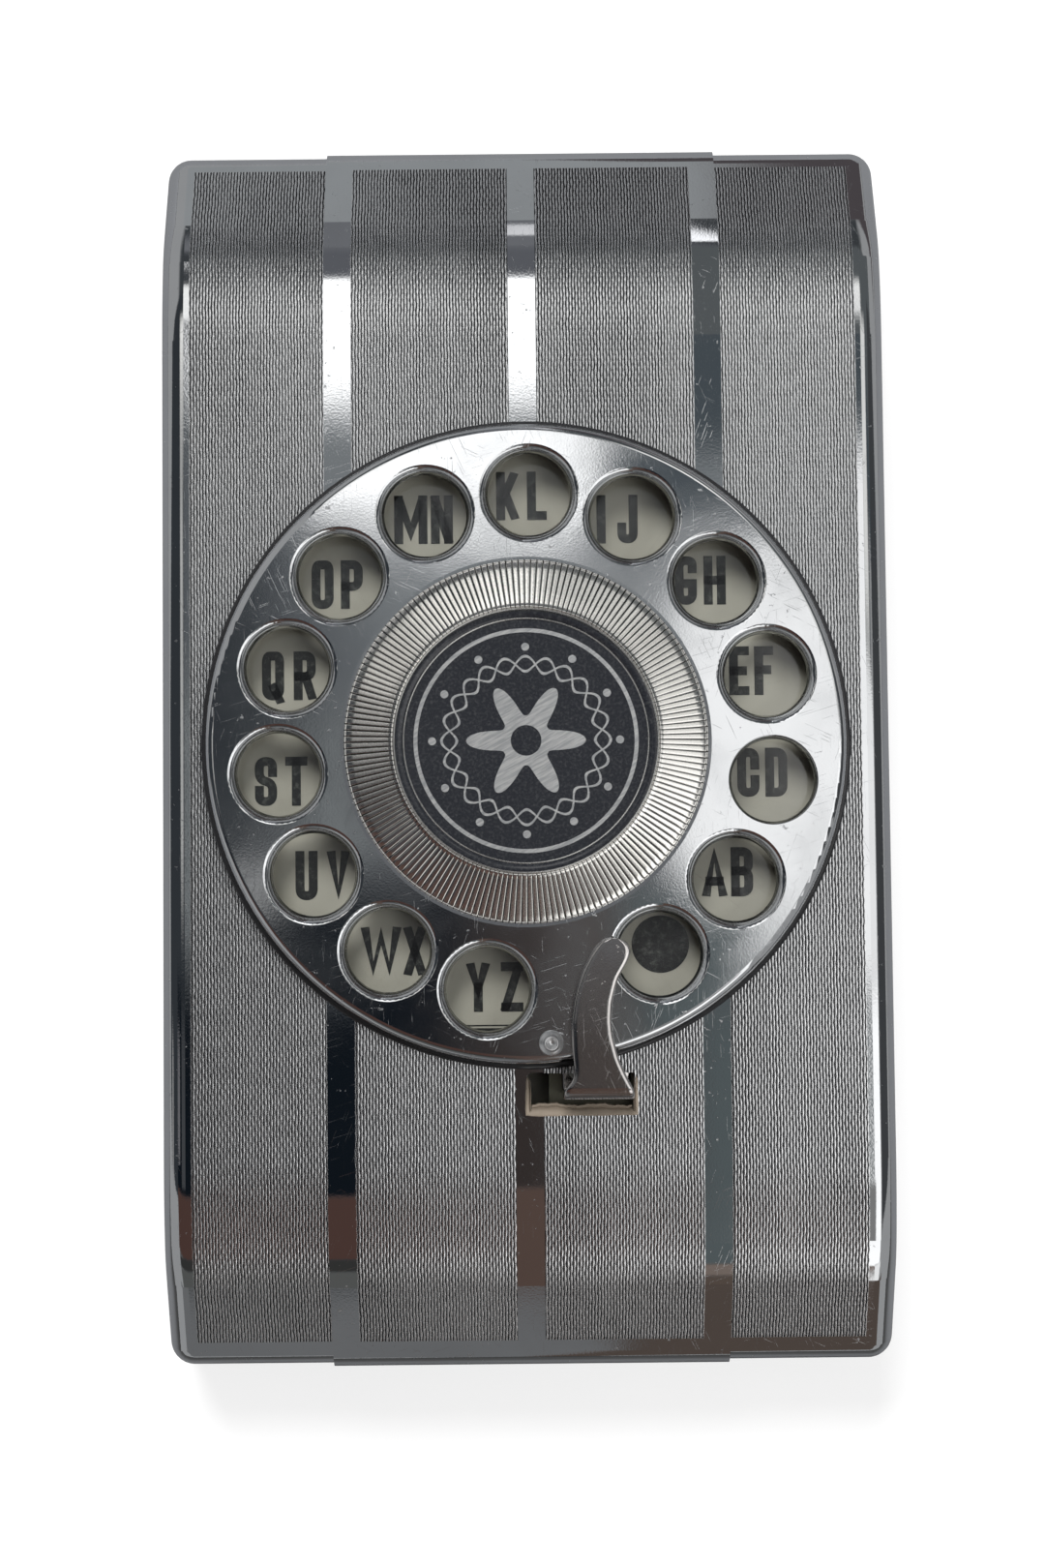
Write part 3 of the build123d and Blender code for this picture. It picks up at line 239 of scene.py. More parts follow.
# ---- Lid and hinge springs -----------------------------------------------------------------------
# Two torsion springs of oil-blued steel wire, close wound around the hinge pin.
# One leg of each lies on the base, and the other lifts the lid.
def wire_coil(name, start, across, along, pitch, length, radius, wire, leg):
    """Wound round wire: a circle swept along a helix whose ends go on straight, along its tangents, as legs.
    The circle shrinks to a point at the two tips, which closes them.
    """
    start, across, along = (np.array(v, float) for v in (start, across, along))
    third = np.cross(along, across)
    turn = np.linspace(0, 2 * math.pi * length / pitch, int(28 * length / pitch))[:, None]
    outward = np.cos(turn) * across + np.sin(turn) * third
    line = start + radius * outward + along * pitch * turn / (2 * math.pi)
    heading = radius * (np.cos(turn) * third - np.sin(turn) * across) + along * pitch / (2 * math.pi)
    heading /= np.linalg.norm(heading, axis=1)[:, None]
    reach = leg * np.array([1.0, 1.0, 0.97, 0.5])[:, None]
    line = np.vstack([line[0] - heading[0] * reach, line, line[-1] + heading[-1] * reach[::-1]])
    outward = np.vstack([outward[:1].repeat(4, 0), outward, outward[-1:].repeat(4, 0)])
    heading = np.vstack([heading[:1].repeat(4, 0), heading, heading[-1:].repeat(4, 0)])
    thick = np.full((len(line), 1, 1), wire)
    thick[[0, -1]] = 1e-7
    thick[[1, -2]] = wire * 0.85
    ring = np.linspace(0, 2 * math.pi, 13)[None, :, None]
    side = np.cross(heading, outward)[:, None]
    section = np.cos(ring) * outward[:, None] + np.sin(ring) * side
    return grid_mesh(name, line[:, None] + thick * section)


def grid_quads(rows, columns):
    """Corner numbers of the quads of a grid of points, row by row."""
    index = np.arange(rows * columns).reshape(rows, columns)
    corners = index[:-1, :-1], index[:-1, 1:], index[1:, 1:], index[1:, :-1]
    return np.stack(corners, axis=-1).reshape(-1, 4)


def grid_mesh(name, points, keep=None):
    """Object from a (rows, columns, 3) array of points. Its quads face +Z where rows run along Y and columns
    along X, and only those that keep marks are made.
    """
    quads = grid_quads(*points.shape[:2])
    if keep is not None:
        quads = quads[keep.reshape(-1)]
    used, flat = np.unique(quads.reshape(-1), return_inverse=True)
    return mesh_object(name, points.reshape(-1, 3)[used], flat.reshape(-1, 4))


def mesh_object(name, vertices, faces):
    """Smooth-shaded object at the origin from arrays of vertices and of equal-sided faces."""
    mesh = bpy.data.meshes.new(name)
    sides = faces.shape[1]
    mesh.vertices.add(len(vertices))
    mesh.vertices.foreach_set("co", np.asarray(vertices, np.float32).reshape(-1))
    mesh.loops.add(faces.size)
    mesh.loops.foreach_set("vertex_index", faces.reshape(-1).astype(np.int32))
    mesh.polygons.add(len(faces))
    mesh.polygons.foreach_set("loop_start", np.arange(0, faces.size, sides, dtype=np.int32))
    mesh.polygons.foreach_set("loop_total", np.full(len(faces), sides, np.int32))
    mesh.update(calc_edges=True)
    mesh.shade_smooth()
    piece = bpy.data.objects.new(name, mesh)
    bpy.context.scene.collection.objects.link(piece)
    return piece


spring_steel = metal("spring_steel_finish", (0.34, 0.33, 0.33), (0.22, 0.20, 0.19), 0.25, 0.4)
pin_y, pin_z = 0.0885, 0.0074
coil_middle, coil_half = 0.02044, 0.0037
for side, name in ((-1, "left"), (1, "right")):
    first = (side * coil_middle + coil_half, pin_y, pin_z)
    spring = wire_coil(f"lid_coil_{name}", first, across=(0, -1, 0), along=(-1, 0, 0), pitch=0.0012,
                       length=2 * coil_half, radius=0.0018, wire=0.0003, leg=0.0032)
    spring.data.materials.append(spring_steel)
    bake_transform(spring)
    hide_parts(f"lid_spring_{name}")


# ---- Catch, latch and mechanism plates -----------------------------------------------------------
# The catch post stands on the tray. The latch slide, rack, rails, pinion and their studs hang under the lid,
# in zinc plating, and in olive plating on the latch. A light spring pushes the latch back.
brass = metal("bush_brass_finish", (0.62, 0.44, 0.16), (0.45, 0.30, 0.11), 0.2, 0.35)
olive = metal("olive_plating_finish", (0.25, 0.25, 0.19), (0.16, 0.155, 0.12), 0.3, 0.5, metallic=0.85)
dress(olive, "latch_slide", "latch_studs")
dress(zinc, "catch_post", "catch_rivet", "spring_lug", "rack_rail", "rack_rivets",
      "arm_rail", "drive_pinion", "retaining_clip", "selector_frame", "selector_rack", "selector_hook",
      "guide_stud", "stop_rivets", "hub_nut", "dial_spindle")
dress(brass, "spindle_bush")
latch_end, lug_end = (0.0171, -0.0582, 0.0229), (0.0287, -0.0582, 0.0229)
spring = wire_coil("stop_coil", latch_end, across=(0, 0, -1), along=(1, 0, 0), pitch=0.0008,
                   length=0.0116, radius=0.0011, wire=0.0002, leg=0.0004)
spring.data.materials.append(spring_steel)
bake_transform(spring)
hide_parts("stop_spring")


# ---- Index leaves --------------------------------------------------------------------------------
# Thirteen leaves of thin card with stepped tabs, hung on the binder rings.
# Each has faint rules across it and its pair of letters on its tab, both printed.
strokes = {
    "A": "0,0 5,10 10,0; 2,2.7 8,2.7", "B": "0,0 0,10 10,10r 10,5.2r 0,5.2; 0,5.2 10,5.2r 10,0r 0,0",
    "C": "10,6.8 10,10r 0,10r 0,0r 10,0r 10,3.2", "D": "0,0 0,10 10,10r 10,0r 0,0",
    "E": "10,10 0,10 0,0 10,0; 0,5 8,5", "F": "10,10 0,10 0,0; 0,5.2 8,5.2",
    "G": "10,7.9 10,10r 0,10r 0,0r 10,0r 10,4.2 5.8,4.2", "H": "0,0 0,10; 10,0 10,10; 0,5 10,5",
    "I": "0,0 0,10", "J": "10,10 10,0r 0,0r 0,3", "K": "0,0 0,10; 9.4,10 1,3.8; 3.6,5.6 10,0",
    "L": "0,10 0,0 10,0", "M": "0,0 0,10; 0.4,10 5,2 9.6,10; 10,10 10,0",
    "N": "0,0 0,10; 0.3,10 9.7,0; 10,0 10,10", "O": "5,10 10,10r 10,0r 0,0r 0,10r 5,10",
    "P": "0,0 0,10 10,10r 10,4.5r 0,4.5", "Q": "5,10 10,10r 10,0r 0,0r 0,10r 5,10; 5.5,2 9.6,-1",
    "R": "0,0 0,10 10,10r 10,4.8r 0,4.8; 5.6,4.8 10,0",
    "S": "10,7.2 10,10r 0,10r 0,5.4r 10,4.6r 10,0r 0,0r 0,2.8", "T": "0,10 10,10; 5,10 5,0",
    "U": "0,10 0,0r 10,0r 10,10", "V": "0,10 5,0 10,10", "W": "0,10 2.4,0 5,9 7.6,0 10,10",
    "X": "0.3,10 9.7,0; 0.3,0 9.7,10", "Y": "0,10 5,4.4 10,10; 5,5 5,0",
    "Z": "0,10 10,10; 9.8,10 0.2,0; 0,0 10,0",
}


def ribbon(path, width, closed):
    """Flat band along a path, as vertices and quads. Each side lies half the width from the path, along the
    mitre of the two directions that meet there, and open ends are squared.
    """
    path = np.array(path)
    if closed:
        path = path[:-1]
        step = np.roll(path, -1, 0) - path
        step = step / np.hypot(*step.T)[:, None]
        before = np.roll(step, 1, 0)
    else:
        step = np.diff(path, axis=0)
        step = step / np.hypot(*step.T)[:, None]
        path[0] -= step[0] * width / 2
        path[-1] += step[-1] * width / 2
        before, step = np.vstack([step[:1], step]), np.vstack([step, step[-1:]])
    mean = before + step
    mean = mean / np.maximum(np.hypot(*mean.T), 1e-9)[:, None]
    reach = width / 2 / np.maximum((mean * step).sum(1), 0.45)
    side = np.stack([-mean[:, 1], mean[:, 0]], axis=1) * reach[:, None]
    count = len(path)
    here = np.arange(count if closed else count - 1)
    then = (here + 1) % count
    return np.vstack([path + side, path - side]), np.stack([here, here + count, then + count, then], axis=1)


def raised(flat, level):
    """Flat points lifted to one height."""
    return np.hstack([flat, np.full((len(flat), 1), level)])


def letter(character, left, bottom, width, height, stem, level):
    """One upright condensed capital, as vertices and quads. Each stroke is a band along a path in tenths of
    the letter's box. The path's marked corners are rounded with a parabola, whose start, corner and end
    weigh (1 - t) squared, 2 t (1 - t) and t squared.
    """
    bands = []
    inner = np.array([max(width - stem, 0.0), height - stem])
    t = np.linspace(0, 1, 7)[:, None]
    for stroke in strokes[character].split(";"):
        words = stroke.split()
        spots = [np.array([float(v) for v in word.rstrip("r").split(",")]) / 10 * inner for word in words]
        path = []
        for i, spot in enumerate(spots):
            if not words[i].endswith("r"):
                path.append(spot)
                continue
            start, end = (spot + side * min(0.5, 0.55 * inner[0] / np.hypot(*side))
                          for side in (spots[i - 1] - spot, spots[i + 1] - spot))
            path.extend((1 - t) ** 2 * start + 2 * t * (1 - t) * spot + t * t * end)
        path = [spot for i, spot in enumerate(path) if i == 0 or np.hypot(*(spot - path[i - 1])) > 1e-6]
        outline, quads = ribbon(path, stem, words[0] == words[-1])
        outline = outline + stem / 2
        outline[:, 1] = np.clip(outline[:, 1], -0.0006 if character == "Q" else 0, height)
        bands.append((raised(outline + (left, bottom), level), quads))
    return joined(bands)


def line_of_letters(text, centre, height, stem, gap, level, scale=1.0):
    """Capitals side by side, centred on a place, as vertices and quads."""
    usual = 0.00325
    widths = {"I": 0.00125, "M": 0.0049, "W": 0.0058, "L": 0.0029, "E": 0.00295, "F": 0.0028, "J": 0.003,
              "A": 0.0036}
    size = [widths.get(character, usual) * scale for character in text]
    left = centre[0] - (sum(size) + gap * (len(text) - 1)) / 2
    capitals = []
    for character, width in zip(text, size):
        capitals.append(letter(character, left, centre[1] - height / 2, width, height, stem, level))
        left += width + gap
    return joined(capitals)


def joined(parts):
    """Several meshes as one, from pairs of vertices and faces."""
    starts = np.cumsum([0] + [len(vertices) for vertices, faces in parts[:-1]])
    return (np.vstack([vertices for vertices, faces in parts]),
            np.vstack([faces + start for (vertices, faces), start in zip(parts, starts)]))


def ink():
    """Black printing ink, slightly broken up."""
    material, tree, shader, place, worn = blank("print_ink")
    worn_through = spread(tree, noise(tree, place, 1100, 4, 0.7), 0.48, 0.72)
    two_tone(tree, worn_through, (0.010, 0.011, 0.012), (0.075, 0.078, 0.075), shader.inputs["Base Color"])
    tree.links.new(spread(tree, worn.outputs["Cloud"], 0.3, 0.7, 0.45, 0.6), shader.inputs["Roughness"])
    relief(tree, worn.outputs["Grain"], 2e-6, shader)
    return material


def ruled_page(level, front, rear):
    """Faint rules across a page, 6 mm apart, as vertices and quads."""
    rules = []
    for y in np.arange(front, rear, 0.006):
        outline, quads = ribbon([(-0.046, y), (0.0, y), (0.046, y)], 0.00016, False)
        rules.append((raised(outline, level), quads))
    return joined(rules)


black_ink = ink()
rule_ink = card("rule_ink_finish", (0.30, 0.42, 0.52), (0.36, 0.46, 0.54))
dress(page_card, *[f"index_leaf_{i:02d}" for i in range(1, 14)])
letter_pairs = ("AB", "CD", "EF", "GH", "IJ", "KL", "MN", "OP", "QR", "ST", "UV", "WX", "YZ")
first_tab, tab_pitch, tab_y, ink_lift = -0.0200, 0.003085, -0.0782, 3e-5
for i, pair in enumerate(letter_pairs, 1):
    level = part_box(f"index_leaf_{i:02d}")[1].z + ink_lift
    tab = line_of_letters(pair, (first_tab + i * tab_pitch, tab_y), height=0.0018, stem=0.00026, gap=0.0003,
                          level=level, scale=0.24)
    print_pieces = [mesh_object(f"leaf_letters_{i:02d}", *tab),
                    mesh_object(f"leaf_rules_{i:02d}", *ruled_page(level, -0.066, 0.060))]
    for piece, look in zip(print_pieces, (black_ink, rule_ink)):
        piece.data.materials.append(look)
        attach(piece, f"leaf_{i:02d}")


# ---- Lid -----------------------------------------------------------------------------------------
# Pressed steel shell, plated and polished. Four panels of fine staggered grains run its whole length, pressed
# in with it. A window is pierced near its front for the finger stop, and its raw edge leans in.
def lid_height(y, crown):
    """Height of the lid's top at y: flat, then an arc of 70 mm to 10 degrees, one of 22 mm to 27 degrees, and
    then straight at that slope.
    """
    flat_end, wide_arc, tight_arc = 0.061, 0.070, 0.022
    first_angle, last_angle = math.radians(10), math.radians(27)
    wide_run = wide_arc * math.sin(first_angle)
    tight_run = tight_arc * (math.sin(last_angle) - math.sin(first_angle))
    past = np.abs(y) - flat_end
    drop = wide_arc - np.sqrt(wide_arc ** 2 - np.clip(past, 0, wide_run) ** 2)
    angle = np.arcsin(math.sin(first_angle) + np.clip(past - wide_run, 0, tight_run) / tight_arc)
    drop = drop + tight_arc * (math.cos(first_angle) - np.cos(angle))
    return crown - drop - np.clip(past - wide_run - tight_run, 0, None) * math.tan(last_angle)


grain_width, grain_length = 0.000455, 0.00155
sways = ((0.00003, 900.0, 300.0), (0.00002, 2100.0, -700.0))


def textured_panel(name, left, right, crown, material):
    """Panel of pointed grains in columns. The height is the square of a cosine across the column, raised to a
    power that narrows it towards the grain's ends, times a swell along the column. The swell is the product
    of two cosines, so it moves by half a grain from one column to the next. Two slow sines sway the columns.
    """
    depth, front, rear, edge_width = 0.00005, -0.0878, 0.0886, 0.0002
    x = np.linspace(left, right, int(round((right - left) / grain_width * 4)) + 1)
    y = np.linspace(front, rear, int(round((rear - front) / grain_length * 5)) + 1)
    xx, yy = np.meshgrid(x, y)
    sway = sum(size * np.sin(yy * along_y + xx * along_x) for size, along_y, along_x in sways)
    across = np.cos(math.pi * (xx + sway) / grain_width)
    swell = 0.5 + 0.5 * across * np.cos(2 * math.pi * yy / grain_length)
    height = (across ** 2) ** (1.6 - 0.9 * swell) * (0.35 + 0.65 * swell)
    edge = np.minimum(np.minimum(xx - left, right - xx), np.minimum(yy - front, rear - yy))
    zz = lid_height(yy, crown) + 0.00002 + depth * height * np.clip(edge / edge_width, 0, 1)
    middle_x, middle_y = (xx[1:, 1:] + xx[:-1, :-1]) / 2, (yy[1:, 1:] + yy[:-1, :-1]) / 2
    window = (middle_x > -0.0002) & (middle_x < 0.0155) & (middle_y > -0.0539) & (middle_y < -0.0481)
    under_dial = np.hypot(middle_x, middle_y) <= 0.0460
    panel = grid_mesh(name, np.stack([xx, yy, zz], axis=-1), ~under_dial & ~window)
    panel.data.materials.append(material)
    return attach(panel, "lid")


def grain_group():
    """The panels' height formula as a shader group, so that each grain's outline is drawn sharply."""
    tree, given, result = group("grain", [("Vector", "NodeSocketVector")], [("Height", "NodeSocketFloat")])
    parts = tree.nodes.new("ShaderNodeSeparateXYZ")
    tree.links.new(given.outputs["Vector"], parts.inputs[0])
    x, y = parts.outputs["X"], parts.outputs["Y"]
    swayed = x
    for size, along_y, along_x in sways:
        phase = math_node(tree, "ADD", math_node(tree, "MULTIPLY", y, along_y),
                          math_node(tree, "MULTIPLY", x, along_x))
        swayed = math_node(tree, "MULTIPLY_ADD", math_node(tree, "SINE", phase), size, swayed)
    across = math_node(tree, "COSINE", math_node(tree, "MULTIPLY", swayed, math.pi / grain_width))
    along = math_node(tree, "COSINE", math_node(tree, "MULTIPLY", y, 2 * math.pi / grain_length))
    swell = math_node(tree, "MULTIPLY_ADD", math_node(tree, "MULTIPLY", across, along), 0.5, 0.5)
    power = math_node(tree, "MULTIPLY_ADD", swell, -0.9, 1.6)
    ridge = math_node(tree, "POWER", math_node(tree, "MULTIPLY", across, across), power)
    height = math_node(tree, "MULTIPLY", ridge, math_node(tree, "MULTIPLY_ADD", swell, 0.65, 0.35))
    tree.links.new(height, result.inputs["Height"])
    return tree


def grained_metal():
    """Plated metal of the grained panels: bright grains, near-black painted shade between them, clouds of
    dulling along.
    """
    material, tree, shader, place, worn = blank("grained_panel_finish")
    shader.inputs["Metallic"].default_value = 1.0
    grains = tree.nodes.new("ShaderNodeGroup")
    grains.node_tree = grain_group()
    tree.links.new(place, grains.inputs["Vector"])
    cloud = spread(tree, noise(tree, turned(tree, place, 0, (1, 2.5, 1)), 30, 3, 0.6), 0.3, 0.75, 0.0, 0.12)
    uneven = math_node(tree, "MULTIPLY_ADD", noise(tree, place, 700, 2), 0.22, -0.11)
    shown = math_node(tree, "SUBTRACT", math_node(tree, "ADD", grains.outputs["Height"], uneven), cloud)
    # Low places between the grains are coloured near black: painted shade between the grains.
    two_tone(tree, spread(tree, shown, 0.06, 0.28), (0.045, 0.047, 0.05), (0.95, 0.955, 0.96),
             shader.inputs["Base Color"])
    tree.links.new(spread(tree, shown, 0.1, 0.6, 0.42, 0.22), shader.inputs["Roughness"])
    relief(tree, noise(tree, place, 2600, 2), 8e-6, shader)
    return material


polished = metal("polished_lid_finish", (0.76, 0.77, 0.78), (0.71, 0.72, 0.73), 0.02, 0.06, scratch=0.05)
dress(polished, "lid_shell")
grained = grained_metal()
side_crown, middle_crown = 0.0255, 0.026
panels = ((-0.0496, -0.0296, side_crown), (-0.0255, -0.00205, middle_crown),
          (0.00205, 0.0255, middle_crown), (0.0296, 0.0496, side_crown))
for number, (left, right, crown) in enumerate(panels, 1):
    textured_panel(f"grained_panel_{number}", left, right, crown, grained)


def burr():
    """Raw edge round the pierced window: a strip that follows three of its sides and leans into the opening,
    with a groove along it. Its width and height change along the way by a few sines, and its ends taper off.
    """
    corners = np.array([(-0.0003, -0.0486), (-0.0003, -0.0540), (0.0156, -0.0540), (0.0156, -0.0484)])
    bend, close = 0.0006, 0.0008
    legs = np.concatenate([[0], np.cumsum(np.hypot(*np.diff(corners, axis=0).T))])
    run = np.sort(np.concatenate([np.linspace(0, legs[-1], 260), legs[1:3] - close, legs[1:3] + close]))
    line = np.stack([np.interp(run, legs, corners[:, i]) for i in (0, 1)], axis=1)
    at = [0, legs[1] - bend, legs[1], legs[1] + bend, legs[2] - bend, legs[2], legs[2] + bend, legs[3]]
    away_x, away_y = (-1, -1, -0.7, 0, 0, 0.7, 1, 1), (0, 0, -0.7, -1, -1, -0.7, 0, 0)
    away = np.stack([np.interp(run, at, away_x), np.interp(run, at, away_y)], axis=1)
    wave = 1 + 0.10 * np.sin(run * 900) + 0.05 * np.sin(run * 2700 + 1) + 0.03 * np.sin(run * 7100 + 2)
    ends = np.clip(np.minimum(run, legs[-1] - run) / bend, 0.02, 1)
    lean = [0.0004, 0.0006, 0.0011, 0.0015, 0.0013, 0.0008, 0.0004, 0.0003]
    leaning = np.interp(run, at, lean) * wave * ends
    lying = np.interp(run, legs, [0.0002, 0.0004, 0.0004, 0.0003]) * wave * ends
    share = np.array([-0.97, -1.0, -0.95, -0.85, -0.72, -0.66, -0.58, -0.5, -0.3, 0.0, 0.5, 1.0])
    rise = np.array([-10, -4, -1, 0, -1.2, -4.2, -4, -1, 1, 1.2, 1.6, -0.2]) / 10000
    wide = np.where(share < 0, leaning[:, None], lying[:, None]) * share
    across = line[:, None] + away[:, None] * wide[..., None]
    level = middle_crown + rise * (0.6 + 0.4 * wave[:, None])
    return np.concatenate([across, level[..., None]], axis=-1)[::-1]


lip = grid_mesh("window_burr", burr())
lip.data.materials.append(metal("raw_edge_finish", (0.42, 0.35, 0.28), (0.24, 0.20, 0.155), 0.35, 0.6,
                                metallic=0.4))
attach(lip, "lid")


# ---- Dial base, letter card and cover ------------------------------------------------------------
# A black enamelled ring is screwed to the lid. It holds the printed card under a clear disc, both lying still
# while the wheel turns over them.
def dial_letters(level):
    """The thirteen letter pairs of the dial, each at its place on the card in millimetres and with its own
    gap between the two letters, and the double rule below YZ.
    """
    places = ((29.32, -18.96, 0.6), (34.62, -4.41, 0.85), (33.22, 10.57, 0.75), (25.91, 24.0, 1.0),
              (13.78, 33.2, 1.8), (-0.31, 36.79, 1.3), (-14.78, 33.4, 0.5), (-27.56, 23.89, 1.05),
              (-34.74, 10.48, 1.4), (-35.95, -5.04, 1.2), (-29.97, -18.89, 1.4), (-19.63, -30.06, 0.4),
              (-4.85, -35.41, 1.7))
    parts = [line_of_letters(pair, (x / 1000, y / 1000), 0.0072, 0.00132, gap / 1000, level)
             for pair, (x, y, gap) in zip(letter_pairs, places)]
    for y, width in ((-0.0410, 0.0002), (-0.0416, 0.00042)):
        outline, quads = ribbon([(-0.0096, y), (-0.006, y), (-0.0022, y)], width, False)
        parts.append((raised(outline, level), quads))
    return joined(parts)


def clear_sheet():
    """Clear celluloid with glossy scratched faces. Its tint is partly the faint yellow of aged celluloid and
    partly painted shade that darkens the card beneath. Its far side only lets light through.
    """
    material, tree, shader, place, worn = blank("clear_sheet_finish")
    tree.nodes.remove(shader)
    clear = tree.nodes.new("ShaderNodeBsdfTransparent")
    # Transmitted tint: faint yellow of aged celluloid, plus a grey painted shade over the card beneath.
    clear.inputs["Color"].default_value = (0.80, 0.80, 0.775, 1)
    gloss = tree.nodes.new("ShaderNodeBsdfGlossy")
    gloss.inputs["Color"].default_value = (0.9, 0.9, 0.9, 1)
    rough = spread(tree, worn.outputs["Cloud"], 0.3, 0.75, 0.05, 0.2)
    tree.links.new(math_node(tree, "ADD", rough, math_node(tree, "MULTIPLY", worn.outputs["Scratch"], 0.3)),
                   gloss.inputs["Roughness"])
    fresnel = tree.nodes.new("ShaderNodeFresnel")
    fresnel.inputs["IOR"].default_value = 1.5
    amount = math_node(tree, "MULTIPLY_ADD", worn.outputs["Cloud"], 0.12, fresnel.outputs["Fac"])
    front = math_node(tree, "SUBTRACT", 1.0, tree.nodes.new("ShaderNodeNewGeometry").outputs["Backfacing"])
    mix = tree.nodes.new("ShaderNodeMixShader")
    tree.links.new(math_node(tree, "MULTIPLY", amount, front), mix.inputs[0])
    tree.links.new(clear.outputs[0], mix.inputs[1])
    tree.links.new(gloss.outputs[0], mix.inputs[2])
    tree.links.new(mix.outputs[0], tree.nodes["Material Output"].inputs["Surface"])
    return material


def disc_points(centre, radius, level, count=64):
    """Rim points of a flat disc, at even angles."""
    turn = np.linspace(0, 2 * math.pi, count, endpoint=False)
    return raised(np.array(centre) + radius * np.stack([np.cos(turn), np.sin(turn)], axis=1), level)


dress(black_enamel, "dial_base")
dress(zinc, "dial_base_screws")
# The dial card is coloured a dull grey-cream, far darker than the cream page card: painted shade of the card
# lying deep under the wheel.
dress(card("dial_card_painted_shade", (0.50, 0.49, 0.455), (0.40, 0.39, 0.35)), "letter_card")
dress(clear_sheet(), "clear_cover")
ink_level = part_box("letter_card")[1].z + 4e-5
lettering = mesh_object("dial_lettering", *dial_letters(ink_level))
dot_rim = disc_points((0.01934, -0.02941), 0.0042, ink_level)
home_dot = mesh_object("home_dot", dot_rim, np.arange(len(dot_rim)).reshape(1, -1))
for piece in (lettering, home_dot):
    piece.data.materials.append(black_ink)
    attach(piece, "lid")


# ---- Finger wheel --------------------------------------------------------------------------------
# Spun and pierced wheel with fourteen finger holes, plated, rubbed by years of use. Each hole has a pressed
# collar. The stop stud near the rim is turned, with a dimple in its top.
def lathe(profile, centre=(0.0, 0.0), count=96):
    """Turned surface from a profile of (radius, height), given from the outside inwards to face up."""
    turn = np.linspace(0, 2 * math.pi, count + 1)
    radius, height = np.array(profile).T
    return np.stack([centre[0] + np.outer(radius, np.cos(turn)), centre[1] + np.outer(radius, np.sin(turn)),
                     np.repeat(height[:, None], count + 1, 1)], axis=-1)


def rings(name, grids):
    """One object from several grids of points that have the same size."""
    quads = grid_quads(*grids[0].shape[:2])
    return mesh_object(name, *joined([(grid.reshape(-1, 3), quads) for grid in grids]))


wheel_finish = metal("finger_wheel_finish", (0.77, 0.78, 0.79), (0.70, 0.71, 0.72), 0.05, 0.13, scratch=0.3)
dress(wheel_finish, "finger_wheel")
stud_circle, stud_angle = 0.0435, math.radians(-85.8)
stud_centre = (stud_circle * math.cos(stud_angle), stud_circle * math.sin(stud_angle))
stud_profile = [(0.00178, 0.0336), (0.00178, 0.0347), (0.00174, 0.0349), (0.00166, 0.03498),
                (0.00130, 0.03515), (0.00122, 0.0352), (0.00112, 0.0354), (0.00108, 0.0356),
                (0.00100, 0.03568), (0.00086, 0.03569), (0.00074, 0.03562), (0.00064, 0.03545),
                (0.0005, 0.0353), (0.00036, 0.03521), (0.0002, 0.03516), (1e-7, 0.03514)]
stud = grid_mesh("stud_head", lathe(stud_profile, stud_centre))
stud.data.materials.append(metal("stud_finish", (0.92, 0.92, 0.92), (0.84, 0.84, 0.84), 0.24, 0.34))
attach(stud, "dial")
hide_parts("stop_stud")
hole_circle, first_hole, hole_pitch, hole_count = 0.0361, -58.5, 24.55, 14
lip_profile = [(0.00660, 0.03345), (0.00652, 0.03372), (0.00640, 0.03374), (0.00626, 0.03350),
               (0.00608, 0.03305), (0.00598, 0.03282), (0.00600, 0.03270), (0.00625, 0.03272),
               (0.00660, 0.03345)]
hole_angles = [math.radians(first_hole + hole_pitch * i) for i in range(hole_count)]
hole_lips = rings("hole_lips", [lathe(lip_profile, (hole_circle * math.cos(a), hole_circle * math.sin(a)))
                                for a in hole_angles])
# The hole collars are the wheel's plating coloured darker than the wheel: painted shade on the hole walls.
hole_lips.data.materials.append(metal("hole_lip_painted_shade", (0.52, 0.53, 0.53), (0.34, 0.34, 0.33), 0.10, 0.2))
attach(hole_lips, "dial")


# ---- Hub -----------------------------------------------------------------------------------------
# A pressed cone with 180 radial flutes, in warm matt silver. A bright bezel clamps the black plate in its
# middle.
def hub_flutes():
    """Cone with 180 flutes. Across a flute the height falls with the square of the distance from its middle,
    and more steeply in a narrow groove at its edges. Its outer edge turns down, and its inner edge has a
    narrow step.
    """
    flutes, inner_radius, cone_width, cone_top, cone_fall = 180, 0.01915, 0.00715, 0.0361, 0.0012
    turn = np.linspace(0, 2 * math.pi, flutes * 10 + 1)
    offset = np.abs((turn * flutes / (2 * math.pi)) % 1 - 0.5) * 2
    drop = 0.000010 * offset ** 2 + 0.00010 * np.clip((offset - 0.76) / 0.24, 0, 1) ** 1.3
    radius = np.array([19.15, 19.2, 19.5, 19.7, 20.0, 21.0, 22.0, 23.0, 24.0, 25.0, 25.7, 25.9, 26.05, 26.2,
                       26.3, 26.3]) / 1000
    fluted = np.array([0, 0, 0, 0.6, 1, 1, 1, 1, 1, 1, 1, 0.6, 0, 0, 0, 0])
    lowered = np.array([0.1, 0, 0, 0.06, 0.04, 0, 0, 0, 0, 0, 0.02, 0.09, 0.10, 0.0, 0.05, 0.55]) / 1000
    cone = cone_top - cone_fall * (radius - inner_radius) / cone_width - lowered
    tt, rr = np.meshgrid(turn, radius)
    zz = cone[:, None] - drop[None, :] * fluted[:, None]
    return grid_mesh("hub_flutes", np.stack([rr * np.cos(tt), rr * np.sin(tt), zz], axis=-1)[::-1])


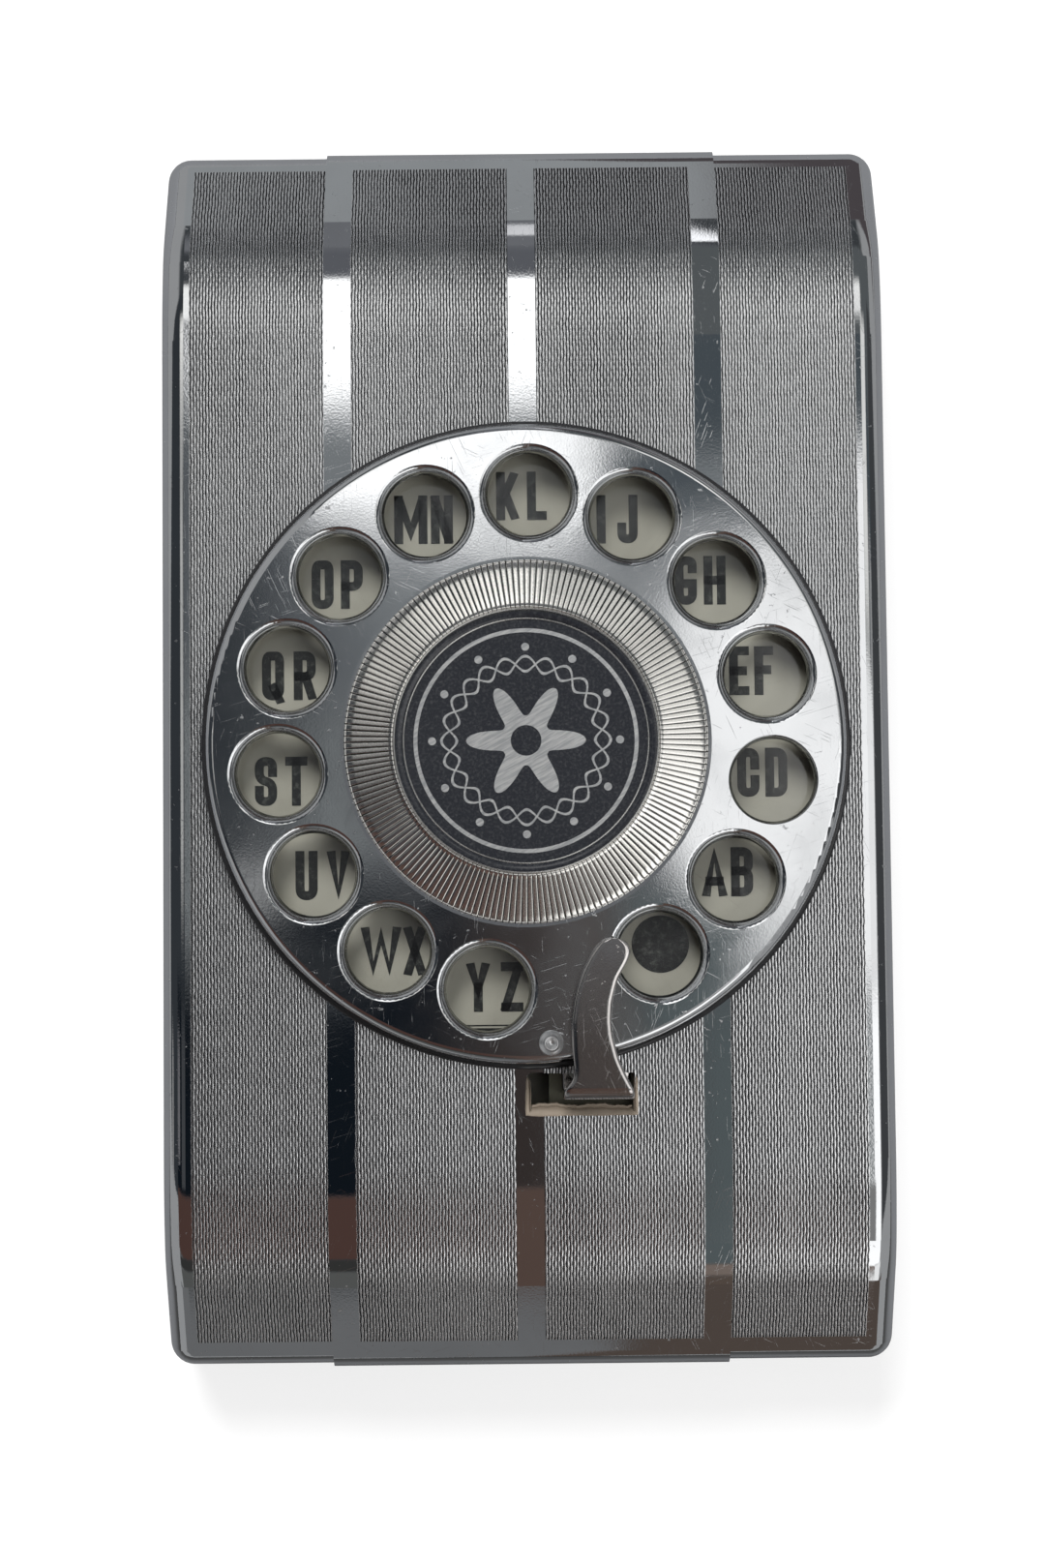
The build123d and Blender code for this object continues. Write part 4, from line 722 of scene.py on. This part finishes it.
def warm_silver():
    """Warm matt silver of the flutes, near black along the grooves between them as painted shade, made uneven
    by clouds of dirt.
    """
    material, tree, shader, place, worn = blank("hub_flute_finish")
    shader.inputs["Metallic"].default_value = 1.0
    parts = tree.nodes.new("ShaderNodeSeparateXYZ")
    tree.links.new(place, parts.inputs[0])
    turn = math_node(tree, "ARCTAN2", parts.outputs["Y"], parts.outputs["X"])
    # Near-black lines along the flute grooves: painted shade in the grooves, shifted by clouds of dirt.
    groove = math_node(tree, "ABSOLUTE", math_node(tree, "COSINE", math_node(tree, "MULTIPLY", turn, 90.0)))
    dirt = math_node(tree, "MULTIPLY_ADD", worn.outputs["Cloud"], 0.14, -0.07)
    groove_shade_and_dirt = spread(tree, math_node(tree, "ADD", groove, dirt), 0.93, 1.0)
    two_tone(tree, groove_shade_and_dirt, (0.92, 0.90, 0.86), (0.05, 0.045, 0.04), shader.inputs["Base Color"])
    tree.links.new(spread(tree, worn.outputs["Cloud"], 0.3, 0.7, 0.15, 0.24), shader.inputs["Roughness"])
    relief(tree, worn.outputs["Grain"], 4e-6, shader)
    return material


flutes = hub_flutes()
flutes.data.materials.append(warm_silver())
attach(flutes, "dial")
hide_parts("hub_ring")
bezel_profile = [(0.01915, 0.0356), (0.01915, 0.0361), (0.01912, 0.03628), (0.01902, 0.03637),
                 (0.01892, 0.03634), (0.01886, 0.03622), (0.01884, 0.03598), (0.0188, 0.03594),
                 (0.0186, 0.03593), (0.01825, 0.03593), (0.0182, 0.0356)]
bezel = grid_mesh("hub_bezel_ring", lathe(bezel_profile, count=240))
satin = metal("hub_lip_finish", (0.84, 0.83, 0.80), (0.74, 0.73, 0.70), 0.2, 0.32)
bezel.data.materials.append(satin)
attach(bezel, "dial")
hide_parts("hub_bezel")


# ---- Hub plate print -----------------------------------------------------------------------------
# Glossy black lacquered disc inside a thin lip. Its silver print is a plain ring, a six-pointed star, a
# crossed chain and a circle of beads.
def black_lacquer():
    """Glossy black plate with fine dust."""
    material, tree, shader, place, worn = blank("hub_plate_finish")
    dust = spread(tree, noise(tree, place, 2400, 3, 0.7), 0.45, 0.85)
    two_tone(tree, dust, (0.012, 0.013, 0.016), (0.042, 0.043, 0.045), shader.inputs["Base Color"])
    tree.links.new(spread(tree, worn.outputs["Cloud"], 0.3, 0.7, 0.08, 0.2), shader.inputs["Roughness"])
    relief(tree, noise(tree, place, 400, 2), 1e-5, shader)
    return material


def band(inner, outer, level, count=360):
    """Flat closed band between two outlines, given as numbers or as functions of the angle."""
    turn = np.linspace(0, 2 * math.pi, count + 1)
    outlines = [edge(turn) if callable(edge) else np.full(turn.shape, edge) for edge in (outer, inner)]
    radius = np.stack(outlines)
    return np.stack([radius * np.cos(turn), radius * np.sin(turn), np.full(radius.shape, level)], axis=-1)


def chain(middle, side):
    """Outline of one strand of the chain: a circle that swings in and out twelve times."""
    return lambda turn: middle + side * 0.0011 * np.cos(12 * turn)


def silver_ink():
    """Silver printing ink: fine flakes in a satin film."""
    material, tree, shader, place, worn = blank("silver_print")
    shader.inputs["Metallic"].default_value = 0.85
    brushed = noise(tree, turned(tree, place, 0.5, (1, 0.08, 1)), 260, 4, 0.7)
    two_tone(tree, spread(tree, brushed, 0.35, 0.65), (0.42, 0.43, 0.44), (0.66, 0.66, 0.65),
             shader.inputs["Base Color"])
    tree.links.new(spread(tree, worn.outputs["Cloud"], 0.3, 0.7, 0.3, 0.45), shader.inputs["Roughness"])
    relief(tree, worn.outputs["Grain"], 4e-6, shader)
    return material


dress(black_lacquer(), "hub_plate")
print_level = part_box("hub_plate")[1].z + 2e-5
silver = silver_ink()
gap_profile = [(0.01883, 0.03596), (0.0186, 0.03597), (0.0178, 0.03597), (0.01775, 0.03591)]
gap_ring = grid_mesh("hub_gap_ring", lathe(gap_profile, count=240))
gap_ring.data.materials.append(nodes["hub_plate"].data.materials[0])
thin_profile = [(0.01775, 0.03591), (0.01772, 0.03604), (0.01762, 0.0361), (0.01752, 0.03604),
                (0.01748, 0.03591)]
thin_lip = grid_mesh("hub_inner_lip", lathe(thin_profile, count=240))
thin_lip.data.materials.append(satin)
strand_inner, strand_outer = 0.01085, 0.01125
prints = {
    "print_ring": band(0.01560, 0.01618, print_level),
    "print_star": band(0.0022, lambda turn: 0.0036 + 0.0050 * np.abs(np.cos(3 * turn)) ** 3.0, print_level),
    "print_chain": band(chain(strand_inner, 1), chain(strand_outer, 1), print_level),
    "print_chain_cross": band(chain(strand_inner, -1), chain(strand_outer, -1), print_level - 4e-6),
}
pieces = [grid_mesh(name, points) for name, points in prints.items()]
bead, bead_circle = band(1e-6, 0.00058, print_level, 24), 0.0135
pieces.append(rings("print_beads", [bead + (bead_circle * math.cos(a), bead_circle * math.sin(a), 0)
                                    for a in (math.radians(30 * i) for i in range(12))]))
for piece in pieces:
    piece.data.materials.append(silver)
for piece in (*pieces, gap_ring, thin_lip):
    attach(piece, "dial")


# ---- Finger stop ---------------------------------------------------------------------------------
# Bent sheet arm, chromed, with edges rounded by tumbling. It comes up through the lid's window from the latch
# slide, and its toe is riveted there.
def stop_arm():
    """Sheet strip with rounded edges, swept from the tip over the wheel, round the bend, down through the
    window and back under the lid as the toe. Over the wheel its edges follow two smooth curves that meet at
    the tip. The sizes are in millimetres.
    """
    left = ((28.45, 12.3), (28.5, 11.75), (28.65, 11.2), (29.0, 10.5), (29.8, 9.72), (31, 8.95), (33, 7.9),
            (35, 7.15), (37.1, 6.6), (40.5, 6.1), (44.4, 6.2), (47, 6.4), (48.6, 6.2), (49.4, 5.5),
            (50.2, 4.95), (51.4, 4.8))
    right = ((28.45, 12.3), (28.5, 12.85), (28.65, 13.4), (29.0, 13.98), (29.6, 14.45), (30.3, 14.62),
             (31.2, 14.45), (32, 14.05), (34.1, 12.8), (37.5, 11.9), (40, 11.75), (42.2, 11.9), (45.6, 12.75),
             (48, 13.8), (50.1, 14.9), (51.4, 15.0))
    toe_left, toe_right, half_sheet, edge_radius = 4.8, 15.0, 0.45, 0.36
    turn = np.linspace(0, math.pi / 2, 9)
    y = np.concatenate([-28.45 - 0.75 * (1 - np.cos(turn)), np.linspace(-29.4, -49.6, 60),
                        -49.7 - 1.25 * np.sin(turn), np.full(8, -50.95), -50.45 - 0.5 * np.cos(turn),
                        np.linspace(-50.3, -44.5, 5), [-44.5]])
    z = np.concatenate([np.full(69, 36.45), 35.2 + 1.25 * np.cos(turn), np.linspace(34.8, 22.8, 8),
                        22.55 - 0.5 * np.sin(turn), np.full(6, 22.05)])
    low, high = (np.interp(-y, *np.array(edge).T) for edge in (left, right))
    smooth = np.array([1, 2, 3, 2, 1]) / 9
    for edge, toe in ((low, toe_left), (high, toe_right)):
        edge[14:67] = np.convolve(edge, smooth, "same")[14:67]
        edge[78:] = toe
    middle, half = (low + high) / 2, (high - low) / 2
    step = np.stack([np.gradient(y), np.gradient(z)], axis=1)
    step[-1] = step[-2]
    step /= np.hypot(*step.T)[:, None]
    up = np.stack([step[:, 1], -step[:, 0]], axis=1)
    inward = edge_radius * (1 - np.cos(turn[::2]))
    upward = half_sheet - edge_radius + edge_radius * np.sin(turn[::2])
    half_section = [*zip(inward[::-1], -upward[::-1]), *zip(inward, upward)]
    half_section += [(0.81, half_sheet), (2.16, half_sheet)]
    section = [(-1, inset, rise) for inset, rise in half_section]
    section += [(1, inset, rise) for inset, rise in half_section[::-1]]
    section.append(section[0])
    thin = np.clip(half / 0.5, 0.02, 1)
    rows = []
    for side, inset, rise in section:
        inset = np.minimum(inset, half * (0.5 if inset > 0.4 else 0.9))
        rows.append(np.stack([middle + side * (half - inset), y + up[:, 0] * rise * thin,
                              z + up[:, 1] * rise * thin], axis=1))
    points = np.stack(rows, axis=1)
    points[-1] = points[-1].mean(axis=0)
    return points / 1000


arm = grid_mesh("stop_arm", stop_arm()[::-1])
arm.data.materials.append(metal("finger_stop_finish", (0.70, 0.67, 0.65), (0.60, 0.57, 0.55), 0.04, 0.12,
                                scratch=0.2))
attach(arm, "finger_stop")
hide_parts("finger_stop")


# ---- Floor, light and camera ---------------------------------------------------------------------
# Plain pale floor, an all-round soft studio light whose boxes show in the plating, and the photograph's view
# from straight above.
def floor_material():
    """Plain pale paper. In the plating's reflections it shows a dark grey painted shade instead, darker
    towards the front.
    """
    material, tree, shader, place, worn = blank("floor_paper")
    two_tone(tree, worn.outputs["Cloud"], (0.29, 0.29, 0.29), (0.31, 0.31, 0.31), shader.inputs["Base Color"])
    shader.inputs["Roughness"].default_value = 0.8
    shader.inputs["Emission Color"].default_value = (1.0, 1.0, 1.0, 1)
    shader.inputs["Emission Strength"].default_value = 0.68
    relief(tree, worn.outputs["Grain"], 1e-5, shader)
    glossy_floor_painted_shade = tree.nodes.new("ShaderNodeBsdfDiffuse")
    parts = tree.nodes.new("ShaderNodeSeparateXYZ")
    tree.links.new(place, parts.inputs[0])
    # Floor colour for reflection rays only: painted shade of the floor near the case, darker towards the
    # front.
    two_tone(tree, spread(tree, parts.outputs["Y"], -0.16, -0.08), (0.055, 0.055, 0.055), (0.15, 0.153, 0.16),
             glossy_floor_painted_shade.inputs["Color"])
    mix = tree.nodes.new("ShaderNodeMixShader")
    tree.links.new(tree.nodes.new("ShaderNodeLightPath").outputs["Is Glossy Ray"], mix.inputs[0])
    tree.links.new(shader.outputs[0], mix.inputs[1])
    tree.links.new(glossy_floor_painted_shade.outputs[0], mix.inputs[2])
    tree.links.new(mix.outputs[0], tree.nodes["Material Output"].inputs["Surface"])
    return material


spot = np.linspace(-6, 6, 9)
floor = grid_mesh("floor", np.stack([*np.meshgrid(spot, spot), np.full((9, 9), -0.0002)], axis=-1))
floor.data.materials.append(floor_material())


def studio():
    """Studio surroundings by direction: grey room, large white lamps above and at the right, darkness and
    warm brown towards the viewer. Boxes are in slopes: x over z and y over z of the direction.
    """
    world = bpy.data.worlds.new("studio")
    bpy.context.scene.world = world
    world.use_nodes = True
    tree = world.node_tree
    direction = tree.nodes.new("ShaderNodeTexCoord").outputs["Generated"]
    parts = tree.nodes.new("ShaderNodeSeparateXYZ")
    tree.links.new(direction, parts.inputs[0])
    up = math_node(tree, "MAXIMUM", parts.outputs["Z"], 0.02)
    u = math_node(tree, "DIVIDE", parts.outputs["X"], up)
    v = math_node(tree, "DIVIDE", parts.outputs["Y"], up)

    def inside(slope, low, high, soft):
        """One between two slopes and zero outside, with edges that are softer further out."""
        rise, fall = (soft * (1 + 2 * abs(edge)) for edge in (low, high))
        return math_node(tree, "MULTIPLY", spread(tree, slope, low - rise, low + rise),
                         spread(tree, slope, high - fall, high + fall, 1.0, 0.0))

    def patch(left, right, near, far, soft):
        """Mask of one box of slopes."""
        return math_node(tree, "MULTIPLY", inside(u, left, right, soft), inside(v, near, far, soft))

    colour = None
    for box, soft, tint in (
            ((-99, 99, -99, 99), 0.1, (0.34, 0.345, 0.35)),
            ((-0.6, 0.6, -2.4, 2.4), 0.08, (0.05, 0.055, 0.06)),
            ((-0.09, 0.09, -0.02, 0.12), 0.02, (0.15, 0.155, 0.165)),
            ((-0.13, 0.10, 0.105, 0.203), 0.012, (0.21, 0.225, 0.235)),
            ((-0.175, -0.095, 0.10, 0.20), 0.02, (0.12, 0.13, 0.14)),
            ((-0.135, -0.09, 0.0, 0.10), 0.015, (0.22, 0.235, 0.24)),
            ((-0.122, 0.10, 0.54, 0.98), 0.02, (0.12, 0.125, 0.14)),
            ((-0.22, 0.085, 0.95, 2.5), 0.03, (0.17, 0.175, 0.19)),
            ((-0.025, 0.03, 1.4, 1.95), 0.02, (0.8, 0.8, 0.82)),
            ((-0.9, 0.25, 2.45, 90), 0.05, (0.31, 0.325, 0.335)),
            ((0.25, 9, 2.3, 90), 0.05, (0.08, 0.07, 0.075)),
            ((0.083, 0.125, 1.08, 2.3), 0.012, (1.35, 1.35, 1.38)),
            ((-6, -0.137, -0.3, 0.5), 0.012, (0.035, 0.040, 0.046)),
            ((-0.165, -0.137, -0.022, 0.008), 0.006, (0.5, 0.5, 0.5)),
            ((-0.95, -0.035, -0.235, -0.02), 0.012, (0.006, 0.009, 0.013)),
            ((-0.95, -0.035, -0.75, -0.235), 0.012, (0.080, 0.045, 0.038)),
            ((-0.95, -0.035, -1.08, -0.75), 0.02, (0.037, 0.037, 0.036)),
            ((-0.95, -0.035, -1.8, -1.08), 0.02, (0.10, 0.103, 0.10)),
            ((-0.035, 0.018, -0.2, -0.02), 0.012, (0.040, 0.032, 0.030)),
            ((0.018, 0.062, -0.2, -0.015), 0.012, (0.088, 0.075, 0.070)),
            ((-0.035, 0.062, -1.85, -0.2), 0.012, (0.105, 0.070, 0.058)),
            ((0.062, 0.135, -0.95, -0.02), 0.012, (0.098, 0.118, 0.123)),
            ((0.062, 0.25, -1.35, -0.95), 0.02, (0.20, 0.16, 0.14)),
            ((0.062, 0.40, -1.9, -1.35), 0.02, (0.105, 0.080, 0.066)),
            ((-1.5, 0.08, -90, -1.835), 0.008, (0.16, 0.163, 0.168)),
            ((0.08, 1.5, -90, -1.8), 0.02, (0.09, 0.07, 0.06)),
            ((0.045, 1.5, 0.187, 0.93), 0.01, (0.105, 0.115, 0.12)),
            ((0.045, 1.5, 0.187, 0.24), 0.01, (0.070, 0.085, 0.097)),
            ((0.12, 0.32, 0.33, 0.52), 0.02, (1.1, 1.1, 1.08)),
            ((0.27, 0.50, 0.12, 0.33), 0.03, (0.85, 0.85, 0.83)),
            ((-0.29, -0.12, 0.33, 0.53), 0.012, (1.1, 1.1, 1.08)),
            ((-0.44, -0.26, 0.21, 0.36), 0.03, (1.0, 0.99, 0.96)),
            ((-0.46, -0.32, 0.02, 0.20), 0.03, (0.5, 0.5, 0.49)),
            ((-0.45, -0.25, -0.20, -0.03), 0.012, (0.06, 0.064, 0.07)),
            ((-0.122, 0.043, 0.203, 0.555), 0.009, (1.6, 1.6, 1.6)),
            ((0.097, 0.19, -0.02, 0.186), 0.01, (1.12, 1.12, 1.12)),
            ((0.19, 0.75, -0.02, 0.11), 0.01, (1.0, 1.0, 1.0)),
            ((0.135, 0.75, -1.1, -0.02), 0.01, (1.3, 1.3, 1.3)),
            ((0.10, 0.33, -0.52, -0.20), 0.02, (0.24, 0.24, 0.24)),
            ((0.22, 0.9, -1.75, -1.1), 0.02, (1.0, 1.0, 1.0)),
            ((0.85, 6, -0.5, 0.5), 0.02, (0.055, 0.058, 0.062)),
            ((-0.95, -0.62, -0.105, -0.045), 0.01, (0.15, 0.15, 0.16)),
            ((-3.2, -2.2, -0.4, -0.1), 0.02, (0.3, 0.3, 0.3)),
            ((-0.168, -0.146, 0.60, 0.78), 0.01, (1.1, 1.1, 1.1))):
        mix = tree.nodes.new("ShaderNodeMix")
        mix.data_type = "RGBA"
        tree.links.new(patch(*box, soft), mix.inputs[0])
        if colour is not None:
            tree.links.new(colour, mix.inputs[6])
        mix.inputs[7].default_value = (*tint, 1)
        colour = mix.outputs[2]
    mix = tree.nodes.new("ShaderNodeMix")
    mix.data_type = "RGBA"
    tree.links.new(tree.nodes.new("ShaderNodeLightPath").outputs["Is Camera Ray"], mix.inputs[0])
    tree.links.new(colour, mix.inputs[6])
    mix.inputs[7].default_value = (0.92, 0.92, 0.92, 1)
    background = tree.nodes["Background"]
    tree.links.new(mix.outputs[2], background.inputs["Color"])
    background.inputs["Strength"].default_value = 1.0


studio()
lamps = (("soft_top", (-0.25, 0.95, 1.1), 0.7, 34), ("soft_side", (0.9, -0.3, 1.0), 0.8, 9))
for name, place, size, power in lamps:
    lamp = bpy.data.lights.new(name, "AREA")
    lamp.shape = "DISK"
    lamp.size = size
    lamp.energy = power
    lamp_object = bpy.data.objects.new(name, lamp)
    lamp_object.location = place
    lamp_object.rotation_euler = (-Vector(place)).to_track_quat("-Z", "Y").to_euler()
    lamp_object.visible_glossy = False
    bpy.context.scene.collection.objects.link(lamp_object)
bpy.context.scene.view_settings.view_transform = "Standard"

camera = bpy.data.cameras.new("camera")
camera.sensor_fit = "VERTICAL"
camera.sensor_height = 36
camera.lens = 60.91
viewpoint = bpy.data.objects.new("camera", camera)
viewpoint.location = (-0.00103, -0.02845, 0.41579)
viewpoint.rotation_euler = (math.radians(3.342), math.radians(-0.035), math.radians(-0.573))
bpy.context.scene.collection.objects.link(viewpoint)
bpy.context.scene.camera = viewpoint
